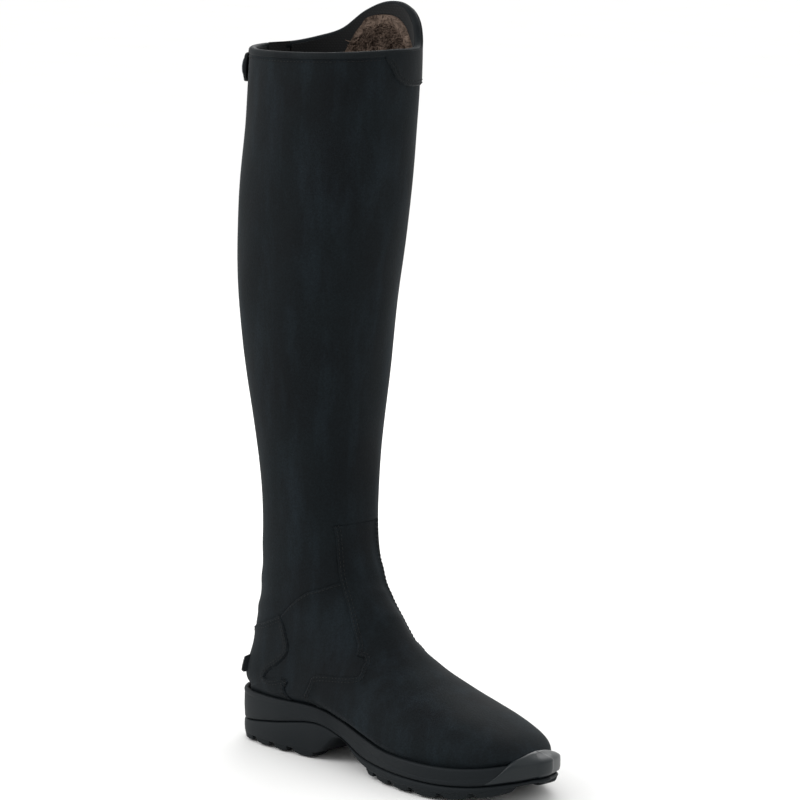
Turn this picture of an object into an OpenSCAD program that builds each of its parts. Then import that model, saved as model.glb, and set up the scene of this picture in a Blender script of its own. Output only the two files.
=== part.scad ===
// Tall winter riding boot, left foot: moulded lug sole, fleece-lined leather
// upper with an arched outer top edge, and a full-length zip down the back.
// +X points to the toe, +Y to the outer side of the leg, +Z up.

/* [Layers] */
// Thickness of the outer leather
leather_t = 1.8; // [1.4:0.1:2.2]
// Thickness of the heel and toe stiffeners
stiffener_t = 1.0; // [0.6:0.1:1.1]
// Thickness of the fleece lining
fleece_t = 4.6; // [3:0.2:5]
// Gap left between two layers
layer_gap = 0.4; // [0.3:0.05:0.4]

/* [Shaft] */
// How far the outer side's arch rises above the level top edge
arch_rise = 26; // [0:1:32]
// Height of the smooth facing band inside the front of the top edge
facing_h = 14; // [12:1:18]

/* [Sole] */
// Height of the moulded side wall above the board, forefoot
wall_t = 2.4; // [1.5:0.1:2.6]
// Depth of the tread lugs
lug_h = 4; // [2:0.5:5]
// Tip of the toe's rise above the ground
toe_spring = 12; // [6:1:14]

/* [Zip] */
// Width of one zip tooth row
tooth_w = 2.6; // [2:0.1:3]
// Height of the slider at rest
slider_z = 455; // [430:1:460]
// Width of the slider
slider_w = 11; // [8:0.5:12]

/* [Snap tab] */
// Height of the snap tab
tab_h = 20; // [14:1:22]
// Thickness of the snap tab
tab_t = 2.2; // [1.6:0.1:2.4]

/* [Hidden] */

// Middle of the boot's length, measured from the back of the heel's outline.
mid_x = 136;

// Sections through the boot, from the top of the arch down the leg and out to the toe:
// front x, front z, rear x, rear z, inner half width, outer half width,
// where along the section it is widest, squareness.
STATIONS = [
  [138, 547,   8, 545, 51, 52, .50, 2.15],
  [135, 502,   5, 501, 52, 53, .50, 2.15],
  [131, 455,   2, 450, 54, 55, .50, 2.15],
  [123, 395,  -4, 390, 55, 56, .48, 2.15],
  [112, 332,  -4, 328, 53, 54, .47, 2.15],
  [104, 270,   2, 266, 48, 49, .47, 2.15],
  [ 98, 214,  10, 208, 41, 42, .48, 2.15],
  [ 98, 165,  12, 155, 37, 37, .48, 2.20],
  [106, 130,   9, 112, 37, 37, .45, 2.20],
  [123, 107,   1,  72, 38, 38, .40, 2.30],
  [142,  88,  -3,  38, 40, 40, .35, 2.40],
  [162,  75,  60,  34, 42, 43, .32, 2.40],
  [184,  65, 118,  24, 45, 48, .30, 2.40],
  [208,  57, 170,  17, 46, 50, .30, 2.40],
  [233,  51, 216,  16, 41, 45, .32, 2.30],
  [256,  44, 247,  20, 32, 35, .35, 2.20],
  [271,  35, 264,  24, 19, 21, .40, 2.10],
  [274,  30, 269,  26,  9, 13, .42, 2.00]];
// Named stations: the rim, the ankle seam where the zip ends, the feather edge, the toe.
T_RIM = 1;
T_ANKLE = 7.3;
T_FEATHER = 10;
T_TOE = 17;

// Outline of the sole: x, inner half width, outer half width.
OUTLINE = [[-7, 6, 6], [-3, 21, 21], [13, 34, 34], [46, 38, 38], [86, 35, 37], [110, 33, 40],
  [138, 37, 48], [168, 44, 54], [198, 47, 54], [226, 44, 49], [250, 35, 40], [269, 19, 26],
  [279, 4, 9]];
// Heights along the sole at the same stations: underside, groove, board, top of the wall.
LEVELS = [[0, 14, 33, 37], [0, 14, 33, 37], [0, 15, 33, 37], [0, 20, 33, 37.5],
  [0, 26, 30, 38], [16, 21, 24.5, 33], [3, 12, 20, 27], [0, 10.5, 16, 23.5],
  [0, 10.5, 14.5, 23], [1, 11, 15, 23.5], [4.5, 13, 18.5, 25.5], [9.5, 16.5, 23, 29],
  [12, 19, 25.5, 31]];
UNDERSIDE = 0;
GROOVE = 1;
BOARD = 2;
WALL_TOP = 3;

function lerp(a, b, f) = a + (b - a) * f;
function clamp(v, lo, hi) = min(max(v, lo), hi);
function smooth(f) = let (g = clamp(f, 0, 1)) g * g * (3 - 2 * g);
// A smooth curve through equally spaced values.
function spline(v, s) = let (n = len(v) - 1, t = clamp(s, 0, n - 1e-6), i = floor(t), f = t - i,
  a = v[max(i - 1, 0)], b = v[i], c = v[i + 1], d = v[min(i + 2, n)])
  0.5 * (2 * b + (c - a) * f + (2 * a - 5 * b + 4 * c - d) * f * f + (3 * b - a - 3 * c + d) * f * f * f);
function station(t) = spline(STATIONS, t);
function outline(s) = spline(OUTLINE, s);
function level(s, which) = max(0, spline([for (row = LEVELS) row[which]], s)
  + (which == UNDERSIDE ? (toe_spring - 12) * smooth((s - 8) / 4) : 0));
// Position along OUTLINE for a given x, by straight lines between its points.
function outline_s(x) = let (i = max([0, for (k = [0 : len(OUTLINE) - 2]) if (OUTLINE[k][0] <= x) k]))
  i + clamp((x - OUTLINE[i][0]) / (OUTLINE[i + 1][0] - OUTLINE[i][0]), 0, 1);
// Distance from the middle to the edge where the upper meets the sole.
function feather(x, side) = max(0, outline(outline_s(x))[side < 0 ? 1 : 2] - 4.5);

// How far the side wall's inner face, less a small gap, lies from the middle at a given x.
WALL_GAP = 0.6;
function inner_wall(x, side) = let (s = outline_s(x), k = side < 0 ? 1 : 2, a = outline(max(s - 0.05, 0)),
    b = outline(min(s + 0.05, 12)), dx = b[0] - a[0], dy = b[k] - a[k])
  outline(s)[k] - (wall_t + WALL_GAP) * min(norm([dx, dy]) / dx, 2.5);
// The smaller of two lengths, rounded where they meet.
function soft_min(a, b) = let (h = clamp(0.5 + (b - a) / 6, 0, 1)) lerp(b, a, h) - 3 * h * (1 - h);

// The upper's surface. t runs down the leg and out to the toe; p runs round it, from -1 at the
// back of the inner side through 0 at the front to 1 at the back of the outer side; d is the
// depth below the outer face.
function surf(t, p, d) = let (
    q = p > 1 ? p - 2 : p < -1 ? p + 2 : p,
    side = q < 0 ? -1 : 1,
    r = station(t),
    run = [r[0] - r[2], r[1] - r[3]],
    size = norm(run),
    wide = (side < 0 ? r[4] : r[5]) - d,
    heel = d * clamp(T_FEATHER + 1 - t, 0, 1),
    foot = min(feather(r[2] + heel, side) - d, wide * 0.985) * clamp(6 * (t - T_FEATHER), 0, 1),
    base = max(foot, 0),
    back = r[6] / pow(1 - pow(base / wide, r[7]), 1 / r[7]),
    last = base > 0 ? 180 - acos(pow(r[6] / back, r[7] / 2)) : 180,
    a = abs(q) * last,
    c = cos(a),
    s = sin(a),
    u = c >= 0 ? r[6] + (1 - r[6]) * pow(c, 2 / r[7]) : r[6] - back * pow(-c, 2 / r[7]),
    w = (heel + u * (size - d - heel)) / size,
    x = r[2] + run[0] * w,
    z = r[3] + run[1] * w,
    y = wide * pow(abs(s), 2 / r[7]),
    room = t > T_FEATHER ? inner_wall(x, side) - d
      + 1.3 * max(0, z - level(outline_s(x), WALL_TOP) - 3) : y)
  [x - mid_x, side * lerp(y, soft_min(y, room), clamp(4 * (t - T_FEATHER), 0, 1)), z];

// Top edge of the shaft: level on the inner side, arched on the outer side.
ARCH = [0, 0, .085, .55, .92, 1, .76, .32, .13, .02, 0];
function rim(p) = let (u = abs(p > 1 ? p - 2 : p))
  T_RIM + (p >= 0 && p <= 1 ? -arch_rise / 45 * spline(ARCH, 10 * u) : 0.04 * sin(180 * u));
// Lower edge of the facing, as multiples of its height in front, from front to back.
FACING_OUTER = [1, .95, .9, 1, .75, .55, .45, 1.5, 3.6, 4.3, 4.3];
FACING_INNER = [1, 1, 1, 1, 1, 1, 1.2, 1.8, 3.6, 4.3, 4.3];
function facing_end(p) = rim(p) + down(facing_h) * spline(p < 0 ? FACING_INNER : FACING_OUTER, 10 * abs(p));
// A closed curved sheet between two depths. left(w) and right(w) give p at its two sides,
// top(v) and bottom(v) give t at its upper and lower edge.
module sheet(left, right, top, bottom, d0, d1, rows, cols) {
  grid = [for (d = [d0, d1]) for (i = [0 : rows]) for (j = [0 : cols])
    let (w = i / rows, v = j / cols, p = lerp(left(w), right(w), v)) surf(lerp(top(p), bottom(p), w), p, d)];
  stride = cols + 1;
  inner = (rows + 1) * stride;
  quads = concat(
    [for (i = [0 : rows - 1]) for (j = [0 : cols - 1]) let (k = i * stride + j)
      [k, k + 1, k + stride + 1, k + stride]],
    [for (i = [0 : rows - 1]) for (j = [0 : cols - 1]) let (k = inner + i * stride + j)
      [k + stride, k + stride + 1, k + 1, k]],
    [for (j = [0 : cols - 1]) [j + 1, j, inner + j, inner + j + 1]],
    [for (j = [0 : cols - 1]) let (k = rows * stride + j) [k, k + 1, inner + k + 1, inner + k]],
    [for (i = [0 : rows - 1]) let (k = i * stride) [k, k + stride, inner + k + stride, inner + k]],
    [for (i = [0 : rows - 1]) let (k = i * stride + cols) [k + stride, k, inner + k, inner + k + stride]]);
  polyhedron(grid, [for (q = quads) each [[q[0], q[1], q[2]], [q[0], q[2], q[3]]]]);
}
// The same sheet with straight sides.
module band(p0, p1, top, bottom, d0, d1, rows, cols)
  sheet(function (w) p0, function (w) p1, top, bottom, d0, d1, rows, cols);
function at(v) = function (p) v;

// A point on the sole's outline at station s, moved inward by inset.
function edge(s, side, inset) = let (k = side < 0 ? 1 : 2, o = outline(s),
    a = outline(max(s - 0.05, 0)), b = outline(min(s + 0.05, 12)),
    dx = b[0] - a[0], dy = b[k] - a[k], run = norm([dx, dy]))
  [o[0] + inset * dy / run - mid_x, side * (o[k] - inset * dx / run)];
// A closed loft through rings of four points each.
module loft(rings) {
  last = 4 * (len(rings) - 1);
  sides = [for (i = [0 : len(rings) - 2]) for (j = [0 : 3]) let (k = 4 * i, m = (j + 1) % 4)
    [k + j, k + 4 + j, k + 4 + m, k + m]];
  polyhedron([for (r = rings) each r], concat(
    [for (q = sides) each [[q[0], q[1], q[2]], [q[0], q[2], q[3]]]],
    [[0, 1, 2], [0, 2, 3], [last, last + 2, last + 1], [last, last + 3, last + 2]]));
}
// A ring across the sole: inner side low, outer side low, outer side high, inner side high.
function across(m, l, low, high) = [[m[0], m[1], low], [l[0], l[1], low], [l[0], l[1], high],
  [m[0], m[1], high]];
// A slab of the sole from station s0 to s1 between two heights, drawn in by inset.
module slab(s0, s1, low, high, inset, rows)
  loft([for (i = [0 : rows]) let (s = lerp(s0, s1, i / rows))
    across(edge(s, -1, inset), edge(s, 1, inset), low(s), high(s))]);
function height(which, rise) = function (s) level(s, which) + rise;
// A wall that stands just off the board's edge and passes through a list of [station, side].
module wall(route, thick)
  loft([for (g = route) let (o = edge(g[0], g[1], 0), n = edge(g[0], g[1], thick),
      low = level(g[0], BOARD) + WALL_CLEAR, high = level(g[0], WALL_TOP))
    [[o[0], o[1], low], [n[0], n[1], low], [n[0], n[1], high], [o[0], o[1], high]]]);
// A tread lug between two stations, from one share of the half width to another.
module lug(s0, s1, side, from, to)
  loft([for (k = [0 : 3]) let (s = lerp(s0, s1, k / 3), o = edge(s, side, 0), z = level(s, UNDERSIDE),
      y0 = o[1] * (side < 0 ? to : from), y1 = o[1] * (side < 0 ? from : to))
    [[o[0], y0, z], [o[0], y1, z], [o[0], y1, z + lug_h - LUG_CLEAR], [o[0], y0, z + lug_h - LUG_CLEAR]]]);

// Stations where the toe bumper and the tread lugs begin and end.
S_BUMPER = 10.2;
LUG_GAP = 0.14;
LUG_CLEAR = 0.15;
WALL_CLEAR = 0.2;
HEEL_CUTS = [0.5, 1.7, 2.4, 3, 3.47, 4.1];
FORE_CUTS = [6.25, 6.7, 7.35, 8.1, 9, 9.95, 10.9];

module outsole() color("#22282b") {
  slab(0, 12, height(UNDERSIDE, lug_h), height(GROOVE, 0), 0, 48);
}
module heel_lugs() color("#1d2225") {
  for (side = [-1, 1]) for (k = [0 : len(HEEL_CUTS) - 2])
    lug(HEEL_CUTS[k], HEEL_CUTS[k + 1] - LUG_GAP, side, 0.55, 1);
  translate([20 - mid_x, -10, 0]) cube([50, 20, lug_h - LUG_CLEAR]);
}
module forefoot_lugs() color("#1d2225") {
  for (side = [-1, 1]) for (k = [0 : len(FORE_CUTS) - 2])
    lug(FORE_CUTS[k], FORE_CUTS[k + 1] - LUG_GAP, side, 0.45, 1);
  for (x = [150 : 16 : 198]) translate([x - mid_x, -13, 0]) cube([11, 30, lug_h - LUG_CLEAR]);
}
module midsole() color("#262c2f") slab(0, 12, height(GROOVE, 0), height(BOARD, 0), 0, 48);
module rand() color("#2a3033")
  wall([for (k = [40 : -1 : 0]) [k * S_BUMPER / 40.2, -1], for (k = [0 : 40]) [k * S_BUMPER / 40.2, 1]],
    wall_t);
module toe_bumper() color("#3a4448")
  wall([for (k = [0 : 8]) [lerp(S_BUMPER, 12, k / 8), -1],
    for (k = [8 : -1 : 0]) [lerp(S_BUMPER, 12, k / 8), 1]], wall_t);
module shank() color("#8d9296") {
  S = [for (k = [0 : 8]) lerp(2.6, 6.2, k / 8)];
  loft([for (s = S) let (x = outline(s)[0] - mid_x, z = level(s, BOARD) + 0.6)
    [[x, -8, z], [x, 8, z], [x, 8, z + 1.2], [x, -8, z + 1.2]]]);
}
// Depth of the lining's inner face, where the board and footbed start.
LINED = leather_t + 2 * layer_gap + stiffener_t + fleece_t;
module insole_board() color("#b08a5e") slab(0.9, 10.6, height(BOARD, 2.2), height(BOARD, 4), 7.2 + LINED, 30);
module footbed() color("#4a4542") slab(0.9, 10.2, height(BOARD, 4.2), height(BOARD, 7.5), 8.4 + LINED, 30);

// Depths of the layers, and the gap left at a seam, in p and in t.
D_STIFF = leather_t + layer_gap;
D_LINING = D_STIFF + stiffener_t + layer_gap;
SEAM = 0.006;
SEAM_T = 0.012;
// Half the run from the front to the back of the shaft, which turns millimetres into p.
HALF_ROUND = 190;

// p of the vamp's back edge and of the heel counter's front edge, down the boot.
function vamp_edge(t) = lookup(t, [[7, .18], [8, .18], [9, .19], [10, .24], [10.6, .46], [11.1, .76],
  [11.4, .985]]);
function counter_edge(t) = lookup(t, [[7.9, .55], [9.6, .47], [10.3, .63], [10.9, .85], [11.1, .97]]);
// The front line about which the shaft's two halves open, a little to the inner side.
P_SPLIT = -0.07;
// p where the shaft's leather and its lining stop short of the zip.
P_LEATHER = 0.955;
P_FLEECE = 0.93;
// t of the vamp's, stiffeners' and lining's far ends.
T_VAMP_END = 16.2;
T_LINING_END = 14.6;

module vamp() color("#1c2023")
  sheet(function (w) -vamp_edge(lerp(T_ANKLE, T_VAMP_END, w)),
    function (w) vamp_edge(lerp(T_ANKLE, T_VAMP_END, w)), at(T_ANKLE + SEAM_T), at(T_VAMP_END),
    0, leather_t, 52, 24);
module quarter(side) {
  t_of = function (w) lerp(T_ANKLE, 11.1, w);
  a = function (w) vamp_edge(t_of(w)) + 3 * SEAM;
  b = function (w) counter_edge(t_of(w)) - SEAM;
  top = at(T_ANKLE + SEAM_T);
  color("#1e2225")
    if (side < 0) sheet(function (w) -b(w), function (w) -a(w), top, at(11.1), 0, leather_t, 28, 6);
    else sheet(a, b, top, at(11.1), 0, leather_t, 28, 6);
}
module quarter_medial() quarter(-1);
module quarter_lateral() quarter(1);
module heel_counter() color("#1b1f22") {
  top = T_ANKLE + 2 * SEAM_T;
  sheet(function (w) counter_edge(lerp(top, 9.98, w)) + SEAM,
    function (w) 2 - counter_edge(lerp(top, 9.98, w)) - SEAM, at(top), at(9.98), 0, leather_t, 16, 24);
  sheet(function (w) counter_edge(lerp(10, 10.9, w)) + SEAM, at(.985), at(10), at(10.9), 0, leather_t, 6, 4);
  sheet(at(-.985), function (w) -counter_edge(lerp(10, 10.9, w)) - SEAM, at(10), at(10.9),
    0, leather_t, 6, 4);
}
module counter_stiffener() color("#9a8b72")
  band(.56, 1.44, at(8.4), at(9.6), D_STIFF + .2, D_STIFF + stiffener_t, 10, 20);
module toe_puff() color("#9a8b72")
  band(-.93, .93, at(13.8), at(15.9), D_STIFF, D_STIFF + stiffener_t, 6, 14);
module spur_rest() color("#202427") band(.68, 1.32, at(9.38), at(9.75), -3.4, -0.6, 2, 12);
module foot_lining() color("#4a423d")
  band(-.95, .95, at(T_ANKLE + 5 * SEAM_T), at(T_LINING_END),
  D_LINING + 1.6, D_LINING + fleece_t, 48, 25);

// A sheet on one half of the shaft, given by its p range on the outer side, from u0 in front
// to u1 at the back.
module half_sheet(side, u0, u1, top, bottom, d0, d1, rows, cols)
  if (side < 0) band(-u1, -u0, top, bottom, d0, d1, rows, cols);
  else band(u0, u1, top, bottom, d0, d1, rows, cols);
// Where each half starts in front: both stop at the split line.
function front_u(side) = side < 0 ? -P_SPLIT + SEAM / 2 : P_SPLIT + SEAM / 2;
RIM_EDGE = 0.012;
function down(mm) = mm / 48;
module leg(side) color("#1c2023")
  half_sheet(side, front_u(side), P_LEATHER, function (p) rim(p) + RIM_EDGE, at(T_ANKLE - SEAM_T),
    0, leather_t, 14, 20);
module leg_lining(side) color("#4a423d")
  half_sheet(side, front_u(side) + SEAM, P_FLEECE, function (p) facing_end(p) + RIM_EDGE,
    at(T_ANKLE - 3 * SEAM_T), D_LINING, D_LINING + fleece_t, 14, 20);
module facing(side) color("#1b1d1e")
  half_sheet(side, front_u(side) + SEAM, P_FLEECE, function (p) rim(p) + 3 * RIM_EDGE,
    function (p) facing_end(p), D_STIFF + .2, D_STIFF + 2, 3, 20);
module placket(side) color("#23282b")
  half_sheet(side, .90, P_LEATHER, function (p) rim(p) + RIM_EDGE, at(T_ANKLE - SEAM_T), -1.4, -.3, 24, 2);
module zip_tape(side) color("#15181a")
  half_sheet(side, .935, 1 - tooth_w / HALF_ROUND - .003, function (p) rim(p) + RIM_EDGE,
    at(T_ANKLE - SEAM_T), D_STIFF + .1, D_STIFF + .9, 24, 2);
module zip_teeth(side) color("#2c3032")
  half_sheet(side, 1 - tooth_w / HALF_ROUND, .998, function (p) rim(p) + down(22), at(T_ANKLE - SEAM_T),
    .4, D_STIFF + .8, 24, 1);
module top_binding(side) color("#2f3437")
  half_sheet(side, front_u(side), P_LEATHER, function (p) rim(p) - down(1.3),
    function (p) rim(p) + RIM_EDGE / 2, -.3, D_STIFF + 2, 1, 20);
module leg_medial() leg(-1);
module leg_lateral() leg(1);
module leg_lining_medial() leg_lining(-1);
module leg_lining_lateral() leg_lining(1);
module facing_medial() facing(-1);
module facing_lateral() facing(1);
module placket_medial() placket(-1);
module placket_lateral() placket(1);
module zip_tape_medial() zip_tape(-1);
module zip_tape_lateral() zip_tape(1);
module zip_teeth_medial() zip_teeth(-1);
module zip_teeth_lateral() zip_teeth(1);
module top_binding_medial() top_binding(-1);
module top_binding_lateral() top_binding(1);
module cuff_patch() color("#1f2427")
  band(P_SPLIT + SEAM, .55, function (p) rim(p) + RIM_EDGE, at(1.56), -1.7, -.5, 4, 12);
module zip_guard() color("#181b1d")
  band(.938, 1.055, function (p) T_RIM + .1, at(T_ANKLE - SEAM_T), D_LINING, D_LINING + 1, 24, 2);
module zip_stop() color("#8d9296") band(.985, 1.015, at(T_ANKLE + .03), at(T_ANKLE + .1), -1, -.1, 1, 1);

// The outward direction of the surface.
function outward(t, p) = let (a = surf(t, p + .01, 0) - surf(t, p - .01, 0),
  b = surf(t + .02, p, 0) - surf(t - .02, p, 0), n = cross(b, a)) n / norm(n);
// A disc on the surface, from depth d0 out to depth d1.
module disc(t, p, d0, d1, r) let (o = surf(t, p, 0), n = outward(t, p))
  translate(o - n * d0) rotate([0, acos(n[2]), atan2(n[1], n[0])]) cylinder(h = d0 - d1, r = r, $fn = 32);

// The slider lies just outside the teeth; its bridge holds a bar that the pull turns on.
SLIDER_BACK = spline([for (r = STATIONS) r[2]], 1.9) - mid_x - 1.8;
// The slider and its pull lean back from the teeth by this many degrees at rest.
SLIDER_LEAN = 8;
SLIDER_T = 3;
SLIDER_H = 17;
BAR_OUT = SLIDER_T + 2.6;
BAR_UP = 4;
PULL_LENGTH = 30;
BAR_R = 0.9;
EYE_R = 2.2;
EYE_W = 4.6;
EAR_W = 1.5;
module leaning() translate([SLIDER_BACK, 0, slider_z]) rotate([0, SLIDER_LEAN, 0]) children();
module zip_slider() color("#3c4144") leaning() {
  translate([-SLIDER_T, -slider_w / 2, -SLIDER_H / 2]) cube([SLIDER_T, slider_w, SLIDER_H]);
  for (side = [-1, 1])
    translate([-BAR_OUT - BAR_R - 1, side * (EYE_W / 2 + .25 + EAR_W / 2) - EAR_W / 2, BAR_UP - 2])
    cube([BAR_OUT - SLIDER_T + BAR_R + 1, EAR_W, 4]);
  translate([-BAR_OUT, EYE_W / 2 + .75, BAR_UP]) rotate([90, 0, 0])
    cylinder(h = EYE_W + 1.5, r = BAR_R, $fn = 32);
}
module zip_pull() color("#3c4144") leaning() translate([-BAR_OUT, 0, BAR_UP]) difference() {
  union() {
    translate([0, EYE_W / 2, 0]) rotate([90, 0, 0]) cylinder(h = EYE_W, r = EYE_R, $fn = 32);
    translate([-.8, -EYE_W / 2, -8]) cube([1.6, EYE_W, 7]);
    translate([-.8, -4, -PULL_LENGTH]) cube([1.6, 8, PULL_LENGTH - 7.5]);
  }
  translate([0, EYE_W, 0]) rotate([90, 0, 0]) cylinder(h = 2 * EYE_W, r = BAR_R + .06, $fn = 32);
}
// The snap tab is sewn to the outer half and closes over the zip onto the inner half.
TAB_TOP = 1.1;
TAB_END = 1.21;
SNAP_P = 1.165;
D_TAB = -1.9;
module snap_tab() color("#1f2427")
  band(.90, TAB_END, at(TAB_TOP), at(TAB_TOP + down(tab_h)), D_TAB - tab_t, D_TAB, 2, 8);
module snap_cap() color("#2a2e30")
  disc(TAB_TOP + down(tab_h) / 2, SNAP_P, D_TAB - tab_t - .15, D_TAB - tab_t - 2.4, 6.2);
module snap_stud() color("#8d9296") disc(TAB_TOP + down(tab_h) / 2, SNAP_P, -.25, -1.4, 4.5);

outsole();
heel_lugs();
forefoot_lugs();
midsole();
rand();
toe_bumper();
shank();
insole_board();
footbed();
vamp();
quarter_medial();
quarter_lateral();
heel_counter();
counter_stiffener();
toe_puff();
spur_rest();
foot_lining();
zip_stop();
leg_medial();
leg_lining_medial();
facing_medial();
placket_medial();
zip_tape_medial();
zip_teeth_medial();
top_binding_medial();
snap_stud();
leg_lateral();
leg_lining_lateral();
facing_lateral();
placket_lateral();
zip_tape_lateral();
zip_teeth_lateral();
top_binding_lateral();
cuff_patch();
zip_guard();
zip_slider();
zip_pull();
snap_tab();
snap_cap();
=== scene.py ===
"""Tall winter riding boot: leather upper, fleece lining, back zip and moulded lug sole."""

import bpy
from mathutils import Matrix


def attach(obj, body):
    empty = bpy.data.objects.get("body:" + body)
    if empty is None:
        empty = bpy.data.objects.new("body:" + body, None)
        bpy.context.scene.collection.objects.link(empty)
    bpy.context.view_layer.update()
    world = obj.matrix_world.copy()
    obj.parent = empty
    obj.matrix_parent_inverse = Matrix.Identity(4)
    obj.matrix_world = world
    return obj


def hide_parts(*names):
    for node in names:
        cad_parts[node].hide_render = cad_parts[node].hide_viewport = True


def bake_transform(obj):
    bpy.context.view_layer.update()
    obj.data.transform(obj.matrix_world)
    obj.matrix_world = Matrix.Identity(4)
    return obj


bl_info = {
    "name": "Winter riding boot",
    "version": (1, 0, 0),
    "blender": (4, 5, 0),
    "location": "View3D > Sidebar > Boot",
    "description": "Builds a tall winter riding boot around its packed frame",
    "category": "Add Mesh",
}

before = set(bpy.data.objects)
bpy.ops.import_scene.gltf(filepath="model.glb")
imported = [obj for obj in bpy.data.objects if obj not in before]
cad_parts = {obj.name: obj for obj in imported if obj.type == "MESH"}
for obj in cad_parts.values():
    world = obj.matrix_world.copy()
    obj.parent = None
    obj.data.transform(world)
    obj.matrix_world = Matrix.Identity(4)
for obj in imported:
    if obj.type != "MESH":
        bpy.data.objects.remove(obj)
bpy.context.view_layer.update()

import math

import bmesh
import bpy
import numpy as np
from mathutils import Matrix, Vector
from mathutils.kdtree import KDTree

MM = 0.001

# ---------------------------------------------------------------- the boot's surface
MID_X = 136
T_FEATHER = 10
T_RIM = 1
ARCH_RISE = 26
ARCH = np.array([0, 0, .085, .55, .92, 1, .76, .32, .13, .02, 0])
FACING_H = 14 / 48
FACING_OUTER = np.array([1, .95, .9, 1, .75, .55, .45, 1.5, 3.6, 4.3, 4.3])
FACING_INNER = np.array([1, 1, 1, 1, 1, 1, 1.2, 1.8, 3.6, 4.3, 4.3])
P_SPLIT = -0.07
LEATHER = 1.8
D_LINING = 3.6
FLEECE = 4.6
# Front x, front z, rear x, rear z, inner half width, outer half width, widest place, squareness.
STATIONS = np.array([
    [138, 547, 8, 545, 51, 52, .50, 2.15], [135, 502, 5, 501, 52, 53, .50, 2.15],
    [131, 455, 2, 450, 54, 55, .50, 2.15], [123, 395, -4, 390, 55, 56, .48, 2.15],
    [112, 332, -4, 328, 53, 54, .47, 2.15], [104, 270, 2, 266, 48, 49, .47, 2.15],
    [98, 214, 10, 208, 41, 42, .48, 2.15], [98, 165, 12, 155, 37, 37, .48, 2.20],
    [106, 130, 9, 112, 37, 37, .45, 2.20], [123, 107, 1, 72, 38, 38, .40, 2.30],
    [142, 88, -3, 38, 40, 40, .35, 2.40], [162, 75, 60, 34, 42, 43, .32, 2.40],
    [184, 65, 118, 24, 45, 48, .30, 2.40], [208, 57, 170, 17, 46, 50, .30, 2.40],
    [233, 51, 216, 16, 41, 45, .32, 2.30], [256, 44, 247, 20, 32, 35, .35, 2.20],
    [271, 35, 264, 24, 19, 21, .40, 2.10], [274, 30, 269, 26, 9, 13, .42, 2.00]])
# Outline of the sole: x, inner half width, outer half width.
OUTLINE = np.array([
    [-7, 6, 6], [-3, 21, 21], [13, 34, 34], [46, 38, 38], [86, 35, 37], [110, 33, 40], [138, 37, 48],
    [168, 44, 54], [198, 47, 54], [226, 44, 49], [250, 35, 40], [269, 19, 26], [279, 4, 9]])
# Heights along the sole: underside, groove, board, top of the wall.
LEVELS = np.array([
    [0, 14, 33, 37], [0, 14, 33, 37], [0, 15, 33, 37], [0, 20, 33, 37.5], [0, 26, 30, 38], [16, 21, 24.5, 33],
    [3, 12, 20, 27], [0, 10.5, 16, 23.5], [0, 10.5, 14.5, 23], [1, 11, 15, 23.5], [4.5, 13, 18.5, 25.5],
    [9.5, 16.5, 23, 29], [12, 19, 25.5, 31]])
LUG_H = 4
# From the sole's outline in to the face of the leather, and one stitch, in millimetres.
FOOT_INSET = 2.8
STITCH = 2.2


def catmull(rows, s):
    """A smooth curve through equally spaced rows of numbers."""
    rows = np.asarray(rows, float)
    last = len(rows) - 1
    s = np.clip(np.asarray(s, float), 0, last - 1e-6)
    i = np.floor(s).astype(int)
    f = (s - i)[..., None]
    a, b, c, d = rows[np.maximum(i - 1, 0)], rows[i], rows[i + 1], rows[np.minimum(i + 2, last)]
    return .5 * (2 * b + (c - a) * f + (2 * a - 5 * b + 4 * c - d) * f ** 2
                 + (3 * b - a - 3 * c + d) * f ** 3)


def smooth(f):
    g = np.clip(f, 0, 1)
    return g * g * (3 - 2 * g)


def feather(x, side):
    """Distance from the middle to the edge where the upper meets the sole."""
    s = np.interp(x, OUTLINE[:, 0], np.arange(len(OUTLINE)))
    row = catmull(OUTLINE, s)
    return np.maximum(0, np.where(side < 0, row[..., 1], row[..., 2]) - 4.5)


def inner_wall(x, side):
    """Distance from the middle to the inner face of the sole's side wall, less a small gap."""
    s = np.interp(x, OUTLINE[:, 0], np.arange(len(OUTLINE)))
    row, a, b = [catmull(OUTLINE, np.clip(s + k, 0, len(OUTLINE) - 1)) for k in (0, -.05, .05)]
    dx, dy = b[..., 0] - a[..., 0], np.where(side < 0, b[..., 1] - a[..., 1], b[..., 2] - a[..., 2])
    slant = np.minimum(np.hypot(dx, dy) / dx, 2.5)
    return np.where(side < 0, row[..., 1], row[..., 2]) - FOOT_INSET * slant


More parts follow.
